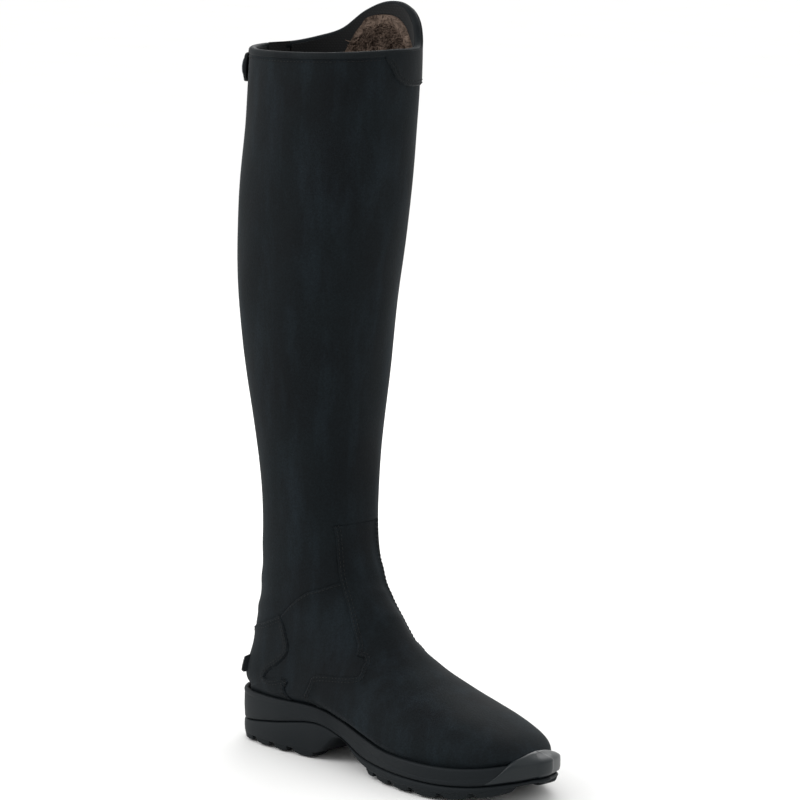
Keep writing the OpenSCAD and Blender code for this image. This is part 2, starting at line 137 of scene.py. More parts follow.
def surf(t, p, d):
    """Point of the upper, in metres: t runs down the leg and out to the toe, p round it from the
    back of the inner side (-1) through the front (0) to the back of the outer side (1), and d is
    the depth below the outer face in millimetres."""
    t, p, d = np.broadcast_arrays(np.asarray(t, float), np.asarray(p, float), np.asarray(d, float))
    q = np.where(p > 1, p - 2, np.where(p < -1, p + 2, p))
    side = np.where(q < 0, -1., 1.)
    r = catmull(STATIONS, t)
    run_x, run_z = r[..., 0] - r[..., 2], r[..., 1] - r[..., 3]
    size = np.hypot(run_x, run_z)
    wide = np.where(side < 0, r[..., 4], r[..., 5]) - d
    mid, n = r[..., 6], r[..., 7]
    heel = d * np.clip(T_FEATHER + 1 - t, 0, 1)
    foot = np.minimum(feather(r[..., 2] + heel, side) - d, wide * .985) * np.clip(6 * (t - T_FEATHER), 0, 1)
    base = np.maximum(foot, 0)
    back = mid / (1 - (base / wide) ** n) ** (1 / n)
    last = np.where(base > 0, np.pi - np.arccos(np.clip((mid / back) ** (n / 2), -1, 1)), np.pi)
    a = np.abs(q) * last
    c, s = np.cos(a), np.abs(np.sin(a))
    u = np.where(c >= 0, mid + (1 - mid) * np.abs(c) ** (2 / n), mid - back * np.abs(c) ** (2 / n))
    w = (heel + u * (size - d - heel)) / size
    x, y, z = r[..., 2] + run_x * w, wide * s ** (2 / n), r[..., 3] + run_z * w
    top = catmull(LEVELS, np.interp(x, OUTLINE[:, 0], np.arange(len(OUTLINE))))[..., 3]
    room = inner_wall(x, side) - d + 1.3 * np.maximum(0, z - top - .5)
    h = np.clip(.5 + (room - y) / 6, 0, 1)
    least = room + (y - room) * h - 3 * h * (1 - h)
    y = y + (least - y) * np.clip(4 * (t - T_FEATHER), 0, 1)
    return np.stack([x - MID_X, side * y, z], -1) * MM


def outward(t, p):
    """Unit normal of the upper."""
    a = surf(t, np.asarray(p) + .006, 0) - surf(t, np.asarray(p) - .006, 0)
    b = surf(np.asarray(t) + .02, p, 0) - surf(np.asarray(t) - .02, p, 0)
    n = np.cross(b, a)
    return n / np.maximum(np.linalg.norm(n, axis=-1, keepdims=True), 1e-12)


def rim(p):
    """Top edge: level on the inner side, arched on the outer side."""
    p = np.asarray(p, float)
    u = np.abs(np.where(p > 1, p - 2, p))
    outer = (p >= 0) & (p <= 1)
    arch = ARCH_RISE / 45 * catmull(ARCH[:, None], 10 * u)[..., 0]
    return T_RIM - np.where(outer, arch, -.04 * np.sin(np.pi * u))


# Slow swells of the hide, from a fixed set of waves, in millimetres.
WAVES = np.random.default_rng(11)
WAVE_DIR = WAVES.normal(size=(14, 3)) * np.array([1, 1, .55])
WAVE_LEN = WAVES.uniform(28, 95, 14)
WAVE_PHASE = WAVES.uniform(0, 2 * np.pi, 14)
# Folds across the instep (1) and behind the ankle (0): t, lean, width and height of each.
FOLDS = ((7.75, .9, .16, .55, 1), (8.35, 1.1, .15, .5, 1), (9.1, .8, .14, .35, 1),
         (7.95, -.5, .16, .7, 0), (8.45, -.35, .12, .8, 0), (7.35, -.4, .2, .4, 0))


def swell(t, p):
    """How far the leather stands out of the last's surface, in millimetres."""
    t, p = np.broadcast_arrays(np.asarray(t, float), np.asarray(p, float))
    xyz = surf(t, p, 0) / MM
    k = WAVE_DIR / np.linalg.norm(WAVE_DIR, axis=1, keepdims=True) * (2 * np.pi / WAVE_LEN)[:, None]
    low = np.sin(xyz @ k.T + WAVE_PHASE).sum(-1) * .11
    u = np.abs(np.where(p > 1, p - 2, np.where(p < -1, p + 2, p)))
    folds = np.zeros_like(low)
    for t0, lean, width, high, front in FOLDS:
        place = smooth((.38 - u) / .34) if front else smooth((u - .42) / .3)
        folds = folds + high * np.exp(-((t - t0 - lean * (u if front else 1 - u)) / width) ** 2) * place
    calm = 1 - .75 * smooth((t - 11) / 2)
    return (low + folds) * calm


# ---------------------------------------------------------------- seams, as (t, p) on the inner side
VAMP_SEAM = [(6.93, .18), (7.1, .168), (7.5, .17), (7.88, .175), (8.48, .175), (9.18, .19),
             (9.75, .2), (10.2, .25), (10.5, .33), (10.76, .40), (10.63, .47), (10.37, .53),
             (10.58, .62), (10.85, .70), (11.18, .77), (11.4, .985)]
CREASE = [(8.03, .17), (8.05, .215), (8.12, .29), (8.18, .365), (8.38, .44), (8.62, .49),
          (8.72, .6), (8.76, .8), (8.78, 1)]
COUNTER = [(8.62, .49), (9.05, .466), (9.58, .456), (10.0, .54), (10.32, .635), (10.85, .85), (10.95, .985)]


def curve(points):
    """A smooth curve through (t, p) points."""
    points = np.asarray(points, float)
    return catmull(points, np.linspace(0, len(points) - 1, 60 * len(points)))


def even(points, gap):
    """The same (t, p) curve with its points an even distance apart on the surface, in millimetres."""
    xyz = surf(points[:, 0], points[:, 1], 0) / MM
    run = np.concatenate([[0], np.cumsum(np.linalg.norm(np.diff(xyz, axis=0), axis=1))])
    at = np.linspace(0, run[-1], max(2, int(run[-1] / gap)))
    return np.stack([np.interp(at, run, points[:, k]) for k in (0, 1)], -1)


def inside(t, p, loop):
    """Which points are inside a closed (t, p) loop."""
    hit = np.zeros(t.shape, bool)
    a, b = loop, np.roll(loop, -1, axis=0)
    for (ta, pa), (tb, pb) in zip(a, b):
        if ta == tb:
            continue
        cross = ((ta > t) != (tb > t)) & (p < (pb - pa) * (t - ta) / (tb - ta) + pa)
        hit ^= cross
    return hit


def make(name, verts, faces, material, sharp=50):
    """A smooth-shaded mesh object."""
    mesh = bpy.data.meshes.new(name)
    mesh.from_pydata([tuple(v) for v in verts], [], [tuple(int(i) for i in f) for f in faces])
    mesh.validate()
    mesh.shade_smooth()
    mesh.set_sharp_from_angle(angle=math.radians(sharp))
    obj = bpy.data.objects.new(name, mesh)
    bpy.context.scene.collection.objects.link(obj)
    mesh.materials.append(material)
    return obj


def panel(name, material, edges, step=2.0, depth=0, thick=LEATHER, roll=1.0, lift=None, wavy=True):
    """A cut panel of leather or cloth. edges are (curve, rolled) in order round the panel, and
    lift(mm from a rolled edge, t, p) raises its face."""
    dense = [even(np.asarray(c, float), .35) for c, _ in edges]
    loop = np.concatenate(dense)
    coarse = np.concatenate([even(np.asarray(c, float), 1.2) for c, _ in edges])
    rolled = np.concatenate([np.full(len(d), bool(e[1])) for d, e in zip(dense, edges)])
    edge_xyz = surf(loop[:, 0], loop[:, 1], 0) / MM
    t0, t1, p0, p1 = loop[:, 0].min(), loop[:, 0].max(), loop[:, 1].min(), loop[:, 1].max()
    # Grid lines about one step apart at the widest place.
    fine_t, fine_p = np.linspace(t0, t1, 400), np.linspace(p0, p1, 9)
    gaps = np.linalg.norm(np.diff(surf(fine_t[:, None], fine_p[None], 0), axis=0), axis=-1).max(1) / MM
    run = np.concatenate([[0], np.cumsum(gaps)])
    ts = np.interp(np.linspace(0, run[-1], max(3, int(run[-1] / step) + 1)), run, fine_t)
    fine_p, few_t = np.linspace(p0, p1, 400), np.linspace(t0, t1, 9)
    gaps = np.linalg.norm(np.diff(surf(few_t[:, None], fine_p[None], 0), axis=1), axis=-1).max(0) / MM
    run = np.concatenate([[0], np.cumsum(gaps)])
    ps = np.interp(np.linspace(0, run[-1], max(3, int(run[-1] / step) + 1)), run, fine_p)
    grid_t, grid_p = [g.copy() for g in np.meshgrid(ts, ps, indexing="ij")]
    sign = np.where(inside(grid_t, grid_p, coarse), 1., -1.)
    xyz = surf(grid_t, grid_p, 0) / MM
    tree, rolls = KDTree(len(edge_xyz)), KDTree(int(rolled.sum()) or 1)
    for i, v in enumerate(edge_xyz):
        tree.insert(v, i)
    for i, v in enumerate(edge_xyz[rolled] if rolled.any() else [(0, 0, -1e6)]):
        rolls.insert(v, i)
    tree.balance()
    rolls.balance()
    dist = np.zeros(grid_t.shape)
    for i in np.ndindex(grid_t.shape):
        _, k, gap = tree.find(xyz[i])
        if gap < .3 * step:
            grid_t[i], grid_p[i] = loop[k]
            gap = 0
        dist[i] = gap * sign[i]
    points, index, faces = [], {}, []

    def vertex(key, tp):
        if key not in index:
            index[key] = len(points)
            points.append(tp)
        return index[key]

    rows, cols = grid_t.shape
    for i in range(rows - 1):
        for j in range(cols - 1):
            ring = [(i, j), (i, j + 1), (i + 1, j + 1), (i + 1, j)]
            f = [dist[c] for c in ring]
            if max(f) <= 0:
                continue
            face = []
            for a in range(4):
                b = (a + 1) % 4
                ca, cb = ring[a], ring[b]
                if f[a] >= 0:
                    face.append(vertex(ca, (grid_t[ca], grid_p[ca])))
                if f[a] * f[b] < 0:
                    w = f[a] / (f[a] - f[b])
                    tp = [g[ca] + (g[cb] - g[ca]) * w for g in (grid_t, grid_p)]
                    face.append(vertex((min(ca, cb), max(ca, cb)), tp))
            if len(set(face)) > 2:
                faces.append(face)
    tp = np.array(points)
    t, p = tp[:, 0], tp[:, 1]
    normal = outward(t, p)
    base = surf(t, p, depth)
    near = np.array([rolls.find(v)[2] for v in surf(t, p, 0) / MM])
    rise = np.broadcast_to((swell(t, p) if wavy else 0) + (lift(near, t, p) if lift else 0), t.shape)
    drop = np.where(near < roll, roll - np.sqrt(np.maximum(0, roll ** 2 - (roll - near) ** 2)), 0)
    outer = base + normal * ((rise - drop) * MM)[:, None]
    inner = surf(t, p, depth + thick) + normal * (rise * MM)[:, None]
    count = len(tp)
    used = {}
    for f in faces:
        for a, b in zip(f, f[1:] + f[:1]):
            used[(a, b)] = used.get((a, b), 0) + 1
    walls = [(b, a, a + count, b + count) for a, b in used if (b, a) not in used]
    back = [tuple(v + count for v in reversed(f)) for f in faces]
    verts = np.concatenate([outer, inner])
    return make(name, verts, [tuple(f) for f in faces] + back + walls, material)


def flip_check(obj):
    """Faces point outward."""
    bm = bmesh.new()
    bm.from_mesh(obj.data)
    bmesh.ops.recalc_face_normals(bm, faces=bm.faces)
    bm.to_mesh(obj.data)
    bm.free()
    return obj


def tube_faces(rings, size, closed=False):
    """Faces of a tube made of rings of points. A closed tube joins its last ring to its first."""
    faces = [(i * size + j, i * size + (j + 1) % size,
              (i + 1) % rings * size + (j + 1) % size, (i + 1) % rings * size + j)
             for i in range(rings if closed else rings - 1) for j in range(size)]
    if not closed:
        faces += [tuple(range(size))[::-1], tuple(range((rings - 1) * size, rings * size))]
    return faces


def shell_faces(rows, cols):
    """Faces of two grids of points, one behind the other, closed round their edges."""
    n, m = cols + 1, (rows + 1) * (cols + 1)
    faces = []
    for i in range(rows):
        for j in range(cols):
            k = i * n + j
            faces += [(k, k + 1, k + n + 1, k + n), (m + k + n, m + k + n + 1, m + k + 1, m + k)]
    ring = list(range(cols)) + [i * n + cols for i in range(rows)]
    ring += [rows * n + j for j in range(cols, 0, -1)] + [i * n for i in range(rows, 0, -1)]
    return faces + [(b, a, a + m, b + m) for a, b in zip(ring, ring[1:] + ring[:1])]


def sweep(name, material, path, frames, profile):
    """A profile swept along a path. frames gives two unit vectors at each path point."""
    side, up = frames
    profile = np.asarray(profile, float) * MM
    verts = path[:, None] + side[:, None] * profile[None, :, :1] + up[:, None] * profile[None, :, 1:]
    faces = tube_faces(len(path), len(profile))
    return flip_check(make(name, verts.reshape(-1, 3), faces, material, 60))


def joined(name, parts, material, sharp=50):
    """One object from many (verts, faces) lists."""
    verts, faces, base = [], [], 0
    for v, f in parts:
        verts.append(np.asarray(v))
        faces += [tuple(i + base for i in face) for face in f]
        base += len(v)
    return make(name, np.concatenate(verts), faces, material, sharp)


def stitches(name, material, rows, pitch, length, gauge):
    """Rows of thread stitches. Each row is (curve, mm to the side, mm above the face)."""
    parts = []
    for points, aside, above in rows:
        tp = even(np.asarray(points, float), pitch / 8)
        xyz = surf(tp[:, 0], tp[:, 1], 0)
        normal = outward(tp[:, 0], tp[:, 1])
        along = np.gradient(xyz, axis=0)
        along /= np.maximum(np.linalg.norm(along, axis=1, keepdims=True), 1e-12)
        across = np.cross(normal, along)
        line = xyz + across * aside * MM + normal * ((swell(tp[:, 0], tp[:, 1]) + above) * MM)[:, None]
        run = np.concatenate([[0], np.cumsum(np.linalg.norm(np.diff(line, axis=0), axis=1))]) / MM
        for start in np.arange(.5, run[-1] - length, pitch):
            at = start + np.array([0, .12, .3, .5, .7, .88, 1]) * length
            mid = np.stack([np.interp(at, run, line[:, k]) for k in range(3)], -1)
            up = np.stack([np.interp(at, run, normal[:, k]) for k in range(3)], -1)
            to = mid[-1] - mid[0]
            to /= np.linalg.norm(to)
            side = np.cross(up, to)
            high = np.array([-.3, 0, .12, .16, .12, 0, -.3]) * gauge * 1.6
            thin = np.array([.35, .8, 1, 1, 1, .8, .35]) * gauge / 2
            ring = np.linspace(0, 2 * np.pi, 6, endpoint=False)
            rise = high[:, None] + thin[:, None] * np.sin(ring)
            reach = thin[:, None] * np.cos(ring)
            v = mid[:, None] + (up[:, None] * rise[..., None] + side[:, None] * reach[..., None]) * MM
            parts.append((v.reshape(-1, 3), tube_faces(len(at), len(ring))))
    return joined(name, parts, material)


# ---------------------------------------------------------------- materials
def linear(colour):
    """Linear RGBA from an sRGB hex colour."""
    parts = [int(colour[i:i + 2], 16) / 255 for i in (1, 3, 5)]
    return (*[c / 12.92 if c <= .04045 else ((c + .055) / 1.055) ** 2.4 for c in parts], 1)


def add_node(tree, kind, settings=None, inputs=None):
    """Adds one node. A socket given as an input is linked, and a number or colour is set."""
    made = tree.nodes.new(kind)
    for key, value in (settings or {}).items():
        setattr(made, key, value)
    for key, value in (inputs or {}).items():
        if isinstance(value, bpy.types.NodeSocket):
            tree.links.new(value, made.inputs[key])
        else:
            made.inputs[key].default_value = value
    return made


def blank(name):
    """A new material, its empty node tree and its object coordinates."""
    material = bpy.data.materials.new(name)
    material.use_nodes = True
    tree = material.node_tree
    tree.nodes.clear()
    return material, tree, add_node(tree, "ShaderNodeTexCoord").outputs["Object"]


def finish_material(tree, inputs):
    """Ends a material with its surface shader."""
    shader = add_node(tree, "ShaderNodeBsdfPrincipled", inputs=inputs)
    add_node(tree, "ShaderNodeOutputMaterial", inputs={"Surface": shader.outputs[0]})


def noise(tree, where, size_mm, detail, rough=.5, distortion=0.):
    """Noise whose features are about size_mm across."""
    return add_node(tree, "ShaderNodeTexNoise", inputs={
        "Vector": where, "Scale": 1000 / size_mm, "Detail": detail, "Roughness": rough,
        "Distortion": distortion}).outputs["Fac"]


def stretched(tree, where, along):
    """Coordinates that stretch a pattern along z."""
    return add_node(tree, "ShaderNodeMapping", inputs={"Vector": where, "Scale": (1, 1, along)}).outputs[0]


def ramp(tree, fac, stops):
    """Colours or grey levels at places along a factor."""
    made = add_node(tree, "ShaderNodeValToRGB", inputs={"Fac": fac})
    while len(made.color_ramp.elements) < len(stops):
        made.color_ramp.elements.new(.5)
    for element, (place, colour) in zip(made.color_ramp.elements, stops):
        element.position = place
        element.color = colour if isinstance(colour, tuple) else (colour, colour, colour, 1)
    return made.outputs["Color"]


def mix(tree, fac, a, b, kind="MIX"):
    """Two colours mixed, or multiplied."""
    return add_node(tree, "ShaderNodeMix", {"data_type": "RGBA", "blend_type": kind}, {
        0: fac, 6: a, 7: b}).outputs[2]


def between(tree, fac, low, high):
    """A factor moved into a range."""
    return add_node(tree, "ShaderNodeMapRange", inputs={
        "Value": fac, "To Min": low, "To Max": high}).outputs[0]


def bumped(tree, height, strength, deep_mm):
    """A normal from a height that is deep_mm at most."""
    return add_node(tree, "ShaderNodeBump", inputs={
        "Height": height, "Strength": strength, "Distance": deep_mm * MM}).outputs[0]


def leather_material(name, colours, rough, sheen, grain_mm, grain_deep, spec=.12, cloud_mm=55):
    """Leather with a raised nap or a fine grain: slow cloudy patches where the nap lies another
    way, fine mottling, and a soft bump from the grain."""
    material, tree, where = blank(name)
    dark, mid, light = [linear(colour) for colour in colours]
    cloud = noise(tree, where, cloud_mm, 4, .55, .4)
    streak = noise(tree, stretched(tree, where, .22), 16, 3, .6)
    nap = noise(tree, where, grain_mm, 2, .7)
    base = mix(tree, ramp(tree, cloud, [(.36, 0.), (.66, 1.)]), dark, mid)
    base = mix(tree, ramp(tree, streak, [(.45, 0.), (.8, .55)]), base, light)
    base = mix(tree, 1., base, ramp(tree, nap, [(.35, .72), (.68, 1.25)]), "MULTIPLY")
    cells = add_node(tree, "ShaderNodeTexVoronoi", inputs={
        "Vector": where, "Scale": 1000 / grain_mm}).outputs["Distance"]
    height = add_node(tree, "ShaderNodeMath", {"operation": "ADD"}, {0: cells, 1: nap}).outputs[0]
    finish_material(tree, {
        "Base Color": base, "Roughness": between(tree, cloud, rough - .06, rough + .05),
        "Normal": bumped(tree, height, .55, grain_deep), "Specular IOR Level": spec, "IOR": 1.48,
        "Sheen Weight": sheen, "Sheen Roughness": .45, "Sheen Tint": linear("#8fa0a8")})
    return material


def cloth_material(name, dark, light, thread_mm, deep_mm, rough=.9, sheen=.15):
    """Woven cloth: threads over and under at the drawn thread spacing."""
    material, tree, where = blank(name)
    scale = 1000 / (2 * thread_mm)
    up = add_node(tree, "ShaderNodeTexWave", {"bands_direction": "Z"}, {
        "Vector": where, "Scale": scale / 3.2, "Distortion": 1.2, "Detail": 1}).outputs["Fac"]
    over = add_node(tree, "ShaderNodeTexWave", {"bands_direction": "DIAGONAL"}, {
        "Vector": where, "Scale": scale / 2.6, "Distortion": 1.5, "Detail": 1}).outputs["Fac"]
    weave = add_node(tree, "ShaderNodeMath", {"operation": "MULTIPLY"}, {0: up, 1: over}).outputs[0]
    finish_material(tree, {
        "Base Color": mix(tree, weave, linear(dark), linear(light)), "Roughness": rough,
        "Normal": bumped(tree, weave, .6, deep_mm), "Sheen Weight": sheen, "Sheen Roughness": .5,
        "Specular IOR Level": .3})
    return material


def fleece_material(name, deep, mid, painted_light_tip):
    """Curly pile: painted shade in the hollows of the curl, painted light on its crests, and slow changes of
    shade.
    """
    material, tree, where = blank(name)
    curl = noise(tree, where, 3.5, 4, .65, 1.2)
    cloud = noise(tree, where, 18, 2)
    # Dark in the hollows of the curl and light on its crests: painted shade and painted light in the pile.
    base = ramp(tree, curl, [(.34, linear(deep)), (.52, linear(mid)), (.72, linear(painted_light_tip))])
    base = mix(tree, 1., base, ramp(tree, cloud, [(.35, .82), (.7, 1.1)]), "MULTIPLY")
    finish_material(tree, {
        "Base Color": base, "Roughness": .95, "Normal": bumped(tree, curl, .8, 1.2),
        "Sheen Weight": .5, "Sheen Roughness": .4, "Sheen Tint": linear("#a58f80"),
        "Specular IOR Level": .15})
    return material


def rubber_material(name, dark, light, rough, texture_mm, deep_mm, coat=0., spec=.22):
    """Moulded rubber: the mould's fine spark texture and a slightly uneven gloss."""
    material, tree, where = blank(name)
    grit = noise(tree, where, texture_mm, 3, .7)
    cloud = noise(tree, where, 35, 3)
    finish_material(tree, {
        "Base Color": mix(tree, cloud, linear(dark), linear(light)),
        "Roughness": between(tree, cloud, rough - .06, rough + .08),
        "Normal": bumped(tree, grit, .35, deep_mm), "Coat Weight": coat, "Coat Roughness": .12,
        "IOR": 1.52, "Specular IOR Level": spec})
    return material


def metal_material(name, colour, rough, brush_mm):
    """Metal with fine lines from brushing or tumbling."""
    material, tree, where = blank(name)
    scratch = noise(tree, stretched(tree, where, .08), brush_mm, 3)
    finish_material(tree, {
        "Base Color": mix(tree, 1., linear(colour), ramp(tree, scratch, [(.3, .8), (.7, 1.1)]), "MULTIPLY"),
        "Metallic": 1., "Roughness": between(tree, scratch, rough - .05, rough + .12),
        "Normal": bumped(tree, scratch, .2, .05)})
    return material


MATERIALS = {}


def finish(key):
    """The named finish, made once."""
    look = bpy.context.scene.boot_look
    if key in MATERIALS:
        return MATERIALS[key]
    if key == "leather":
        # Waxed nubuck: cowhide buffed on the grain side, so it is matt with a short nap that shows
        # lighter where it is brushed the other way.
        colours = (look.hide_dark, look.hide, look.hide_light)
        made = leather_material("Nubuck cowhide, buffed", colours, .8, .03, 1.3, .12)
    elif key == "smooth_leather":
        # Full-grain calf for the binding, tab and placket: fine pores and a low sheen.
        colours = ("#14181a", look.trim, "#181d20")
        made = leather_material("Full-grain calf, waxed", colours, .62, .01, .9, .09, .08, 30)
    elif key == "fleece":
        # Acrylic pile knitted into a polyester back, brushed and curled.
        # Its dark and light colours are painted shade in the pile's hollows and painted light on its crests.
        made = fleece_material("Acrylic pile fleece", "#2a211d", look.pile, "#8a786b")
    elif key == "facing":
        # Woven polyester facing, 0.35 mm threads drawn at 0.9 mm so that they show.
        made = cloth_material("Polyester twill", "#0d0e0f", "#191b1c", .9, .12, .9, .04)
    elif key == "tape":
        # Woven polyester zip tape, 0.5 mm cords drawn at 0.9 mm.
        made = cloth_material("Woven polyester zip tape", "#0c0e0f", "#1d2022", .9, .18)
    elif key == "rubber":
        # Moulded nitrile rubber with the mould's spark texture, satin.
        made = rubber_material("Nitrile rubber, moulded", look.rubber, "#14191c", .6, .9, .05, 0., .14)
    elif key == "tread":
        # The same rubber scuffed by the ground: paler and duller.
        made = rubber_material("Nitrile rubber, scuffed", "#0f1315", "#171c1f", .7, 1.1, .09, 0., .14)
    elif key == "bumper":
        # Polished mould face: the same rubber with a glassy skin.
        made = rubber_material("Nitrile rubber, polished mould", "#11171a", "#181f22", .4, 1.4, .02, .08)
    elif key == "thread":
        # Bonded polyester thread, twisted.
        made = cloth_material("Bonded polyester thread", "#090b0c", "#121516", .6, .05, .8, 0.)
    elif key == "teeth":
        # Acetal teeth, injection moulded: satin and slightly waxy.
        made = rubber_material("Acetal, injection moulded", "#141719", "#1f2325", .38, .8, .02)
    elif key == "gunmetal":
        # Die-cast zinc with a black nickel plate, tumbled.
        made = metal_material("Black nickel on zinc", "#5c6266", .3, .35)
    elif key == "steel":
        # Spring steel strip, brushed along its length.
        made = metal_material("Spring steel, brushed", "#b9bdc0", .32, .3)
    elif key == "board":
        # Cellulose fibre board, pressed: flecked and dull.
        made = cloth_material("Cellulose fibre board", "#8d6b45", "#b89264", 1.2, .1, .9, 0.)
    elif key == "stiffener":
        # Resin-filled felt for the heel and toe.
        made = cloth_material("Resin-filled felt", "#8a7c66", "#a89a82", 1.5, .15, .85, 0.)
    MATERIALS[key] = made
    return made


def on_root(obj, slot, *nodes):
    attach(obj, "root")
    if nodes:
        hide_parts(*nodes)


def on_half(obj, side, slot, *nodes):
    """Bakes the piece's placement into its mesh and hides the packed parts that it stands for."""
    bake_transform(obj)
    if nodes:
        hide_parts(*nodes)


def word(side):
    return "medial" if side < 0 else "lateral"


def on_side(side, points):
    """(t, p) points given for the outer side, moved to either side."""
    return [(t, side * p) for t, p in points]


def under(loop, deep=.9):
    """Lowers what lies beneath another panel's outline."""
    loop = np.asarray(loop)
    dense = even(loop, 1)
    xyz = surf(dense[:, 0], dense[:, 1], 0) / MM
    tree = KDTree(len(xyz))
    for i, v in enumerate(xyz):
        tree.insert(v, i)
    tree.balance()

    def sink(t, p):
        if loop[:, 1].max() > 1:
            p = np.where(p < 0, p + 2, p)
        hit = inside(t, p, dense)
        gap = np.array([tree.find(v)[2] for v in surf(t, p, 0) / MM])
        return np.where(hit, -.35 - deep * smooth(gap / 2.5), 0)
    return sink


T_VAMP_TOP, T_TOE_END, P_BOTTOM = 6.94, 16.9, .985


def vamp_edges():
    """The vamp's edges in (t, p), and which of them are rolled."""
    seam = curve(VAMP_SEAM)
    other = seam * np.array([1, -1])
    return [([(T_VAMP_TOP, -.18), (T_VAMP_TOP, .18)], False), (seam, True),
            ([(11.4, P_BOTTOM), (T_TOE_END, P_BOTTOM)], False),
            ([(T_TOE_END, P_BOTTOM), (T_TOE_END, -P_BOTTOM)], False),
            ([(T_TOE_END, -P_BOTTOM), (11.4, -P_BOTTOM)], False), (other[::-1], True)]


def counter_edges():
    """The heel counter's edges, and which of them are rolled."""
    top = [c for c in CREASE if c[1] >= .49]
    top = curve(top + [(t, 2 - p) for t, p in top[::-1][1:]])
    front = curve(COUNTER)
    other = np.stack([front[:, 0], 2 - front[:, 1]], -1)
    return [(top, True), (other, True), ([(10.95, 1.015), (10, 1.015)], False),
            ([(10, 1.015), (10, P_BOTTOM)], False), ([(10, P_BOTTOM), (10.95, P_BOTTOM)], False),
            (front[::-1], True)]


def quarter_edges(side):
    """One quarter's edges, and which of them are rolled."""
    top = curve([c for c in CREASE if c[1] <= .5])
    back = curve([(t, p + .03) for t, p in COUNTER[:-1]] + [(10.97, P_BOTTOM)])
    hidden = curve([(11.5, P_BOTTOM), (11.45, .8), (11.3, .6), (11.1, .4), (10.6, .26), (9.8, .16),
                    (8.03, .14)])
    edges = [(top, True), (back, False), ([(10.97, P_BOTTOM), (11.5, P_BOTTOM)], False), (hidden, False),
             ([(8.03, .14), (8.03, .17)], False)]
    return [(np.asarray(c, float) * np.array([1, side]), r) for c, r in edges]


def loop_of(edges):
    """A panel's edges as one closed loop of points."""
    return np.concatenate([even(np.asarray(c, float), 1.2) for c, _ in edges])


def lap(high=1.1, wide=9):
    """A lift for a panel that laps over its neighbours along its rolled edges."""
    return lambda near, t, p: high * (1 - smooth(near / wide))


def flat(t):
    """The same t all along an edge."""
    return lambda p: np.full_like(p, t)


def strip(side, u0, u1, top, bottom, ends=(True, True, True, True)):
    """Edges of a strip down the shaft between two p lines. top and bottom give t from p."""
    us = np.linspace(u0, u1, 80)
    high = np.stack([top(side * us), side * us], -1)
    low = np.stack([bottom(side * us), side * us], -1)
    return [(high, ends[0]), ([tuple(high[-1]), tuple(low[-1])], ends[1]), (low[::-1], ends[2]),
            ([tuple(low[0]), tuple(high[0])], ends[3])]


class BootLook(bpy.types.PropertyGroup):
    """Colours of the boot."""
    hide_dark: bpy.props.StringProperty(
        name="Hide, dark", description="Darkest shade of the nubuck, sRGB hex", default="#090d10")
    hide: bpy.props.StringProperty(
        name="Hide", description="Usual shade of the nubuck, sRGB hex", default="#0e1417")
    hide_light: bpy.props.StringProperty(
        name="Hide, brushed", description="Shade where the nap is brushed up, sRGB hex",
        default="#1b242a")
    trim: bpy.props.StringProperty(
        name="Trim", description="Shade of the smooth leather trim, sRGB hex", default="#0d1114")
    pile: bpy.props.StringProperty(
        name="Fleece", description="Middle shade of the fleece, sRGB hex", default="#64554b")
    rubber: bpy.props.StringProperty(
        name="Sole", description="Shade of the sole's rubber, sRGB hex", default="#0e1316")


class BootSizes(bpy.types.PropertyGroup):
    """Sizes that show on the surface."""
    stitch_pitch: bpy.props.FloatProperty(
        name="Stitch pitch", description="From one stitch to the next, mm",
        default=3.1, min=2, max=6)
    thread: bpy.props.FloatProperty(
        name="Thread", description="Thread thickness, mm", default=.5, min=.3, max=1)
    tooth_pitch: bpy.props.FloatProperty(
        name="Tooth pitch", description="From one zip tooth to the next, mm",
        default=2.5, min=1.5, max=4)
    pile_length: bpy.props.FloatProperty(
        name="Pile length", description="Length of a lock of the fleece, mm",
        default=4.2, min=2, max=12)


class BOOT_OT_upper(bpy.types.Operator):
    """Builds the vamp, quarters, heel counter, back stay and spur rest"""
    bl_idname = "boot.upper"
    bl_label = "Foot of the upper"

    def execute(self, context):
        leather = finish("leather")
        sink_vamp, sink_counter = [under(loop_of(edges)) for edges in (vamp_edges(), counter_edges())]

        def lift(near, t, p):
            return .7 * (1 - smooth(near / 7)) + sink_vamp(t, p) + sink_counter(t, p)

        vamp = panel("vamp_leather", leather, vamp_edges(), step=1.9, lift=lap())
        on_root(vamp, "leather", "vamp")
        for side in (-1, 1):
            piece = panel(f"quarter_leather_{word(side)}", leather, quarter_edges(side), step=1.9, lift=lift)
            on_root(piece, "leather", f"quarter_{word(side)}")
        counter = panel("heel_counter_leather", leather, counter_edges(), step=1.9, lift=lap(1.0, 7))
        on_root(counter, "leather", "heel_counter")
        spur = strip(1, .70, 1.30, lambda p: 9.36 + .12 * np.abs(p - 1) ** 2, flat(9.74))
        rest = panel("spur_rest_ledge", finish("smooth_leather"), spur, step=1.2, depth=-3.2, thick=3.4,
                     roll=1.5, wavy=False)
        on_root(rest, "binding_leather", "spur_rest")
        stay = strip(1, .968, 1.032, flat(7.42), flat(9.3))
        piece = panel("back_stay_strip", finish("smooth_leather"), stay, step=1.4, depth=-.2, thick=1.6,
                      roll=.9, lift=lambda near, t, p: 1.0)
        on_root(piece, "binding_leather")
        return {"FINISHED"}


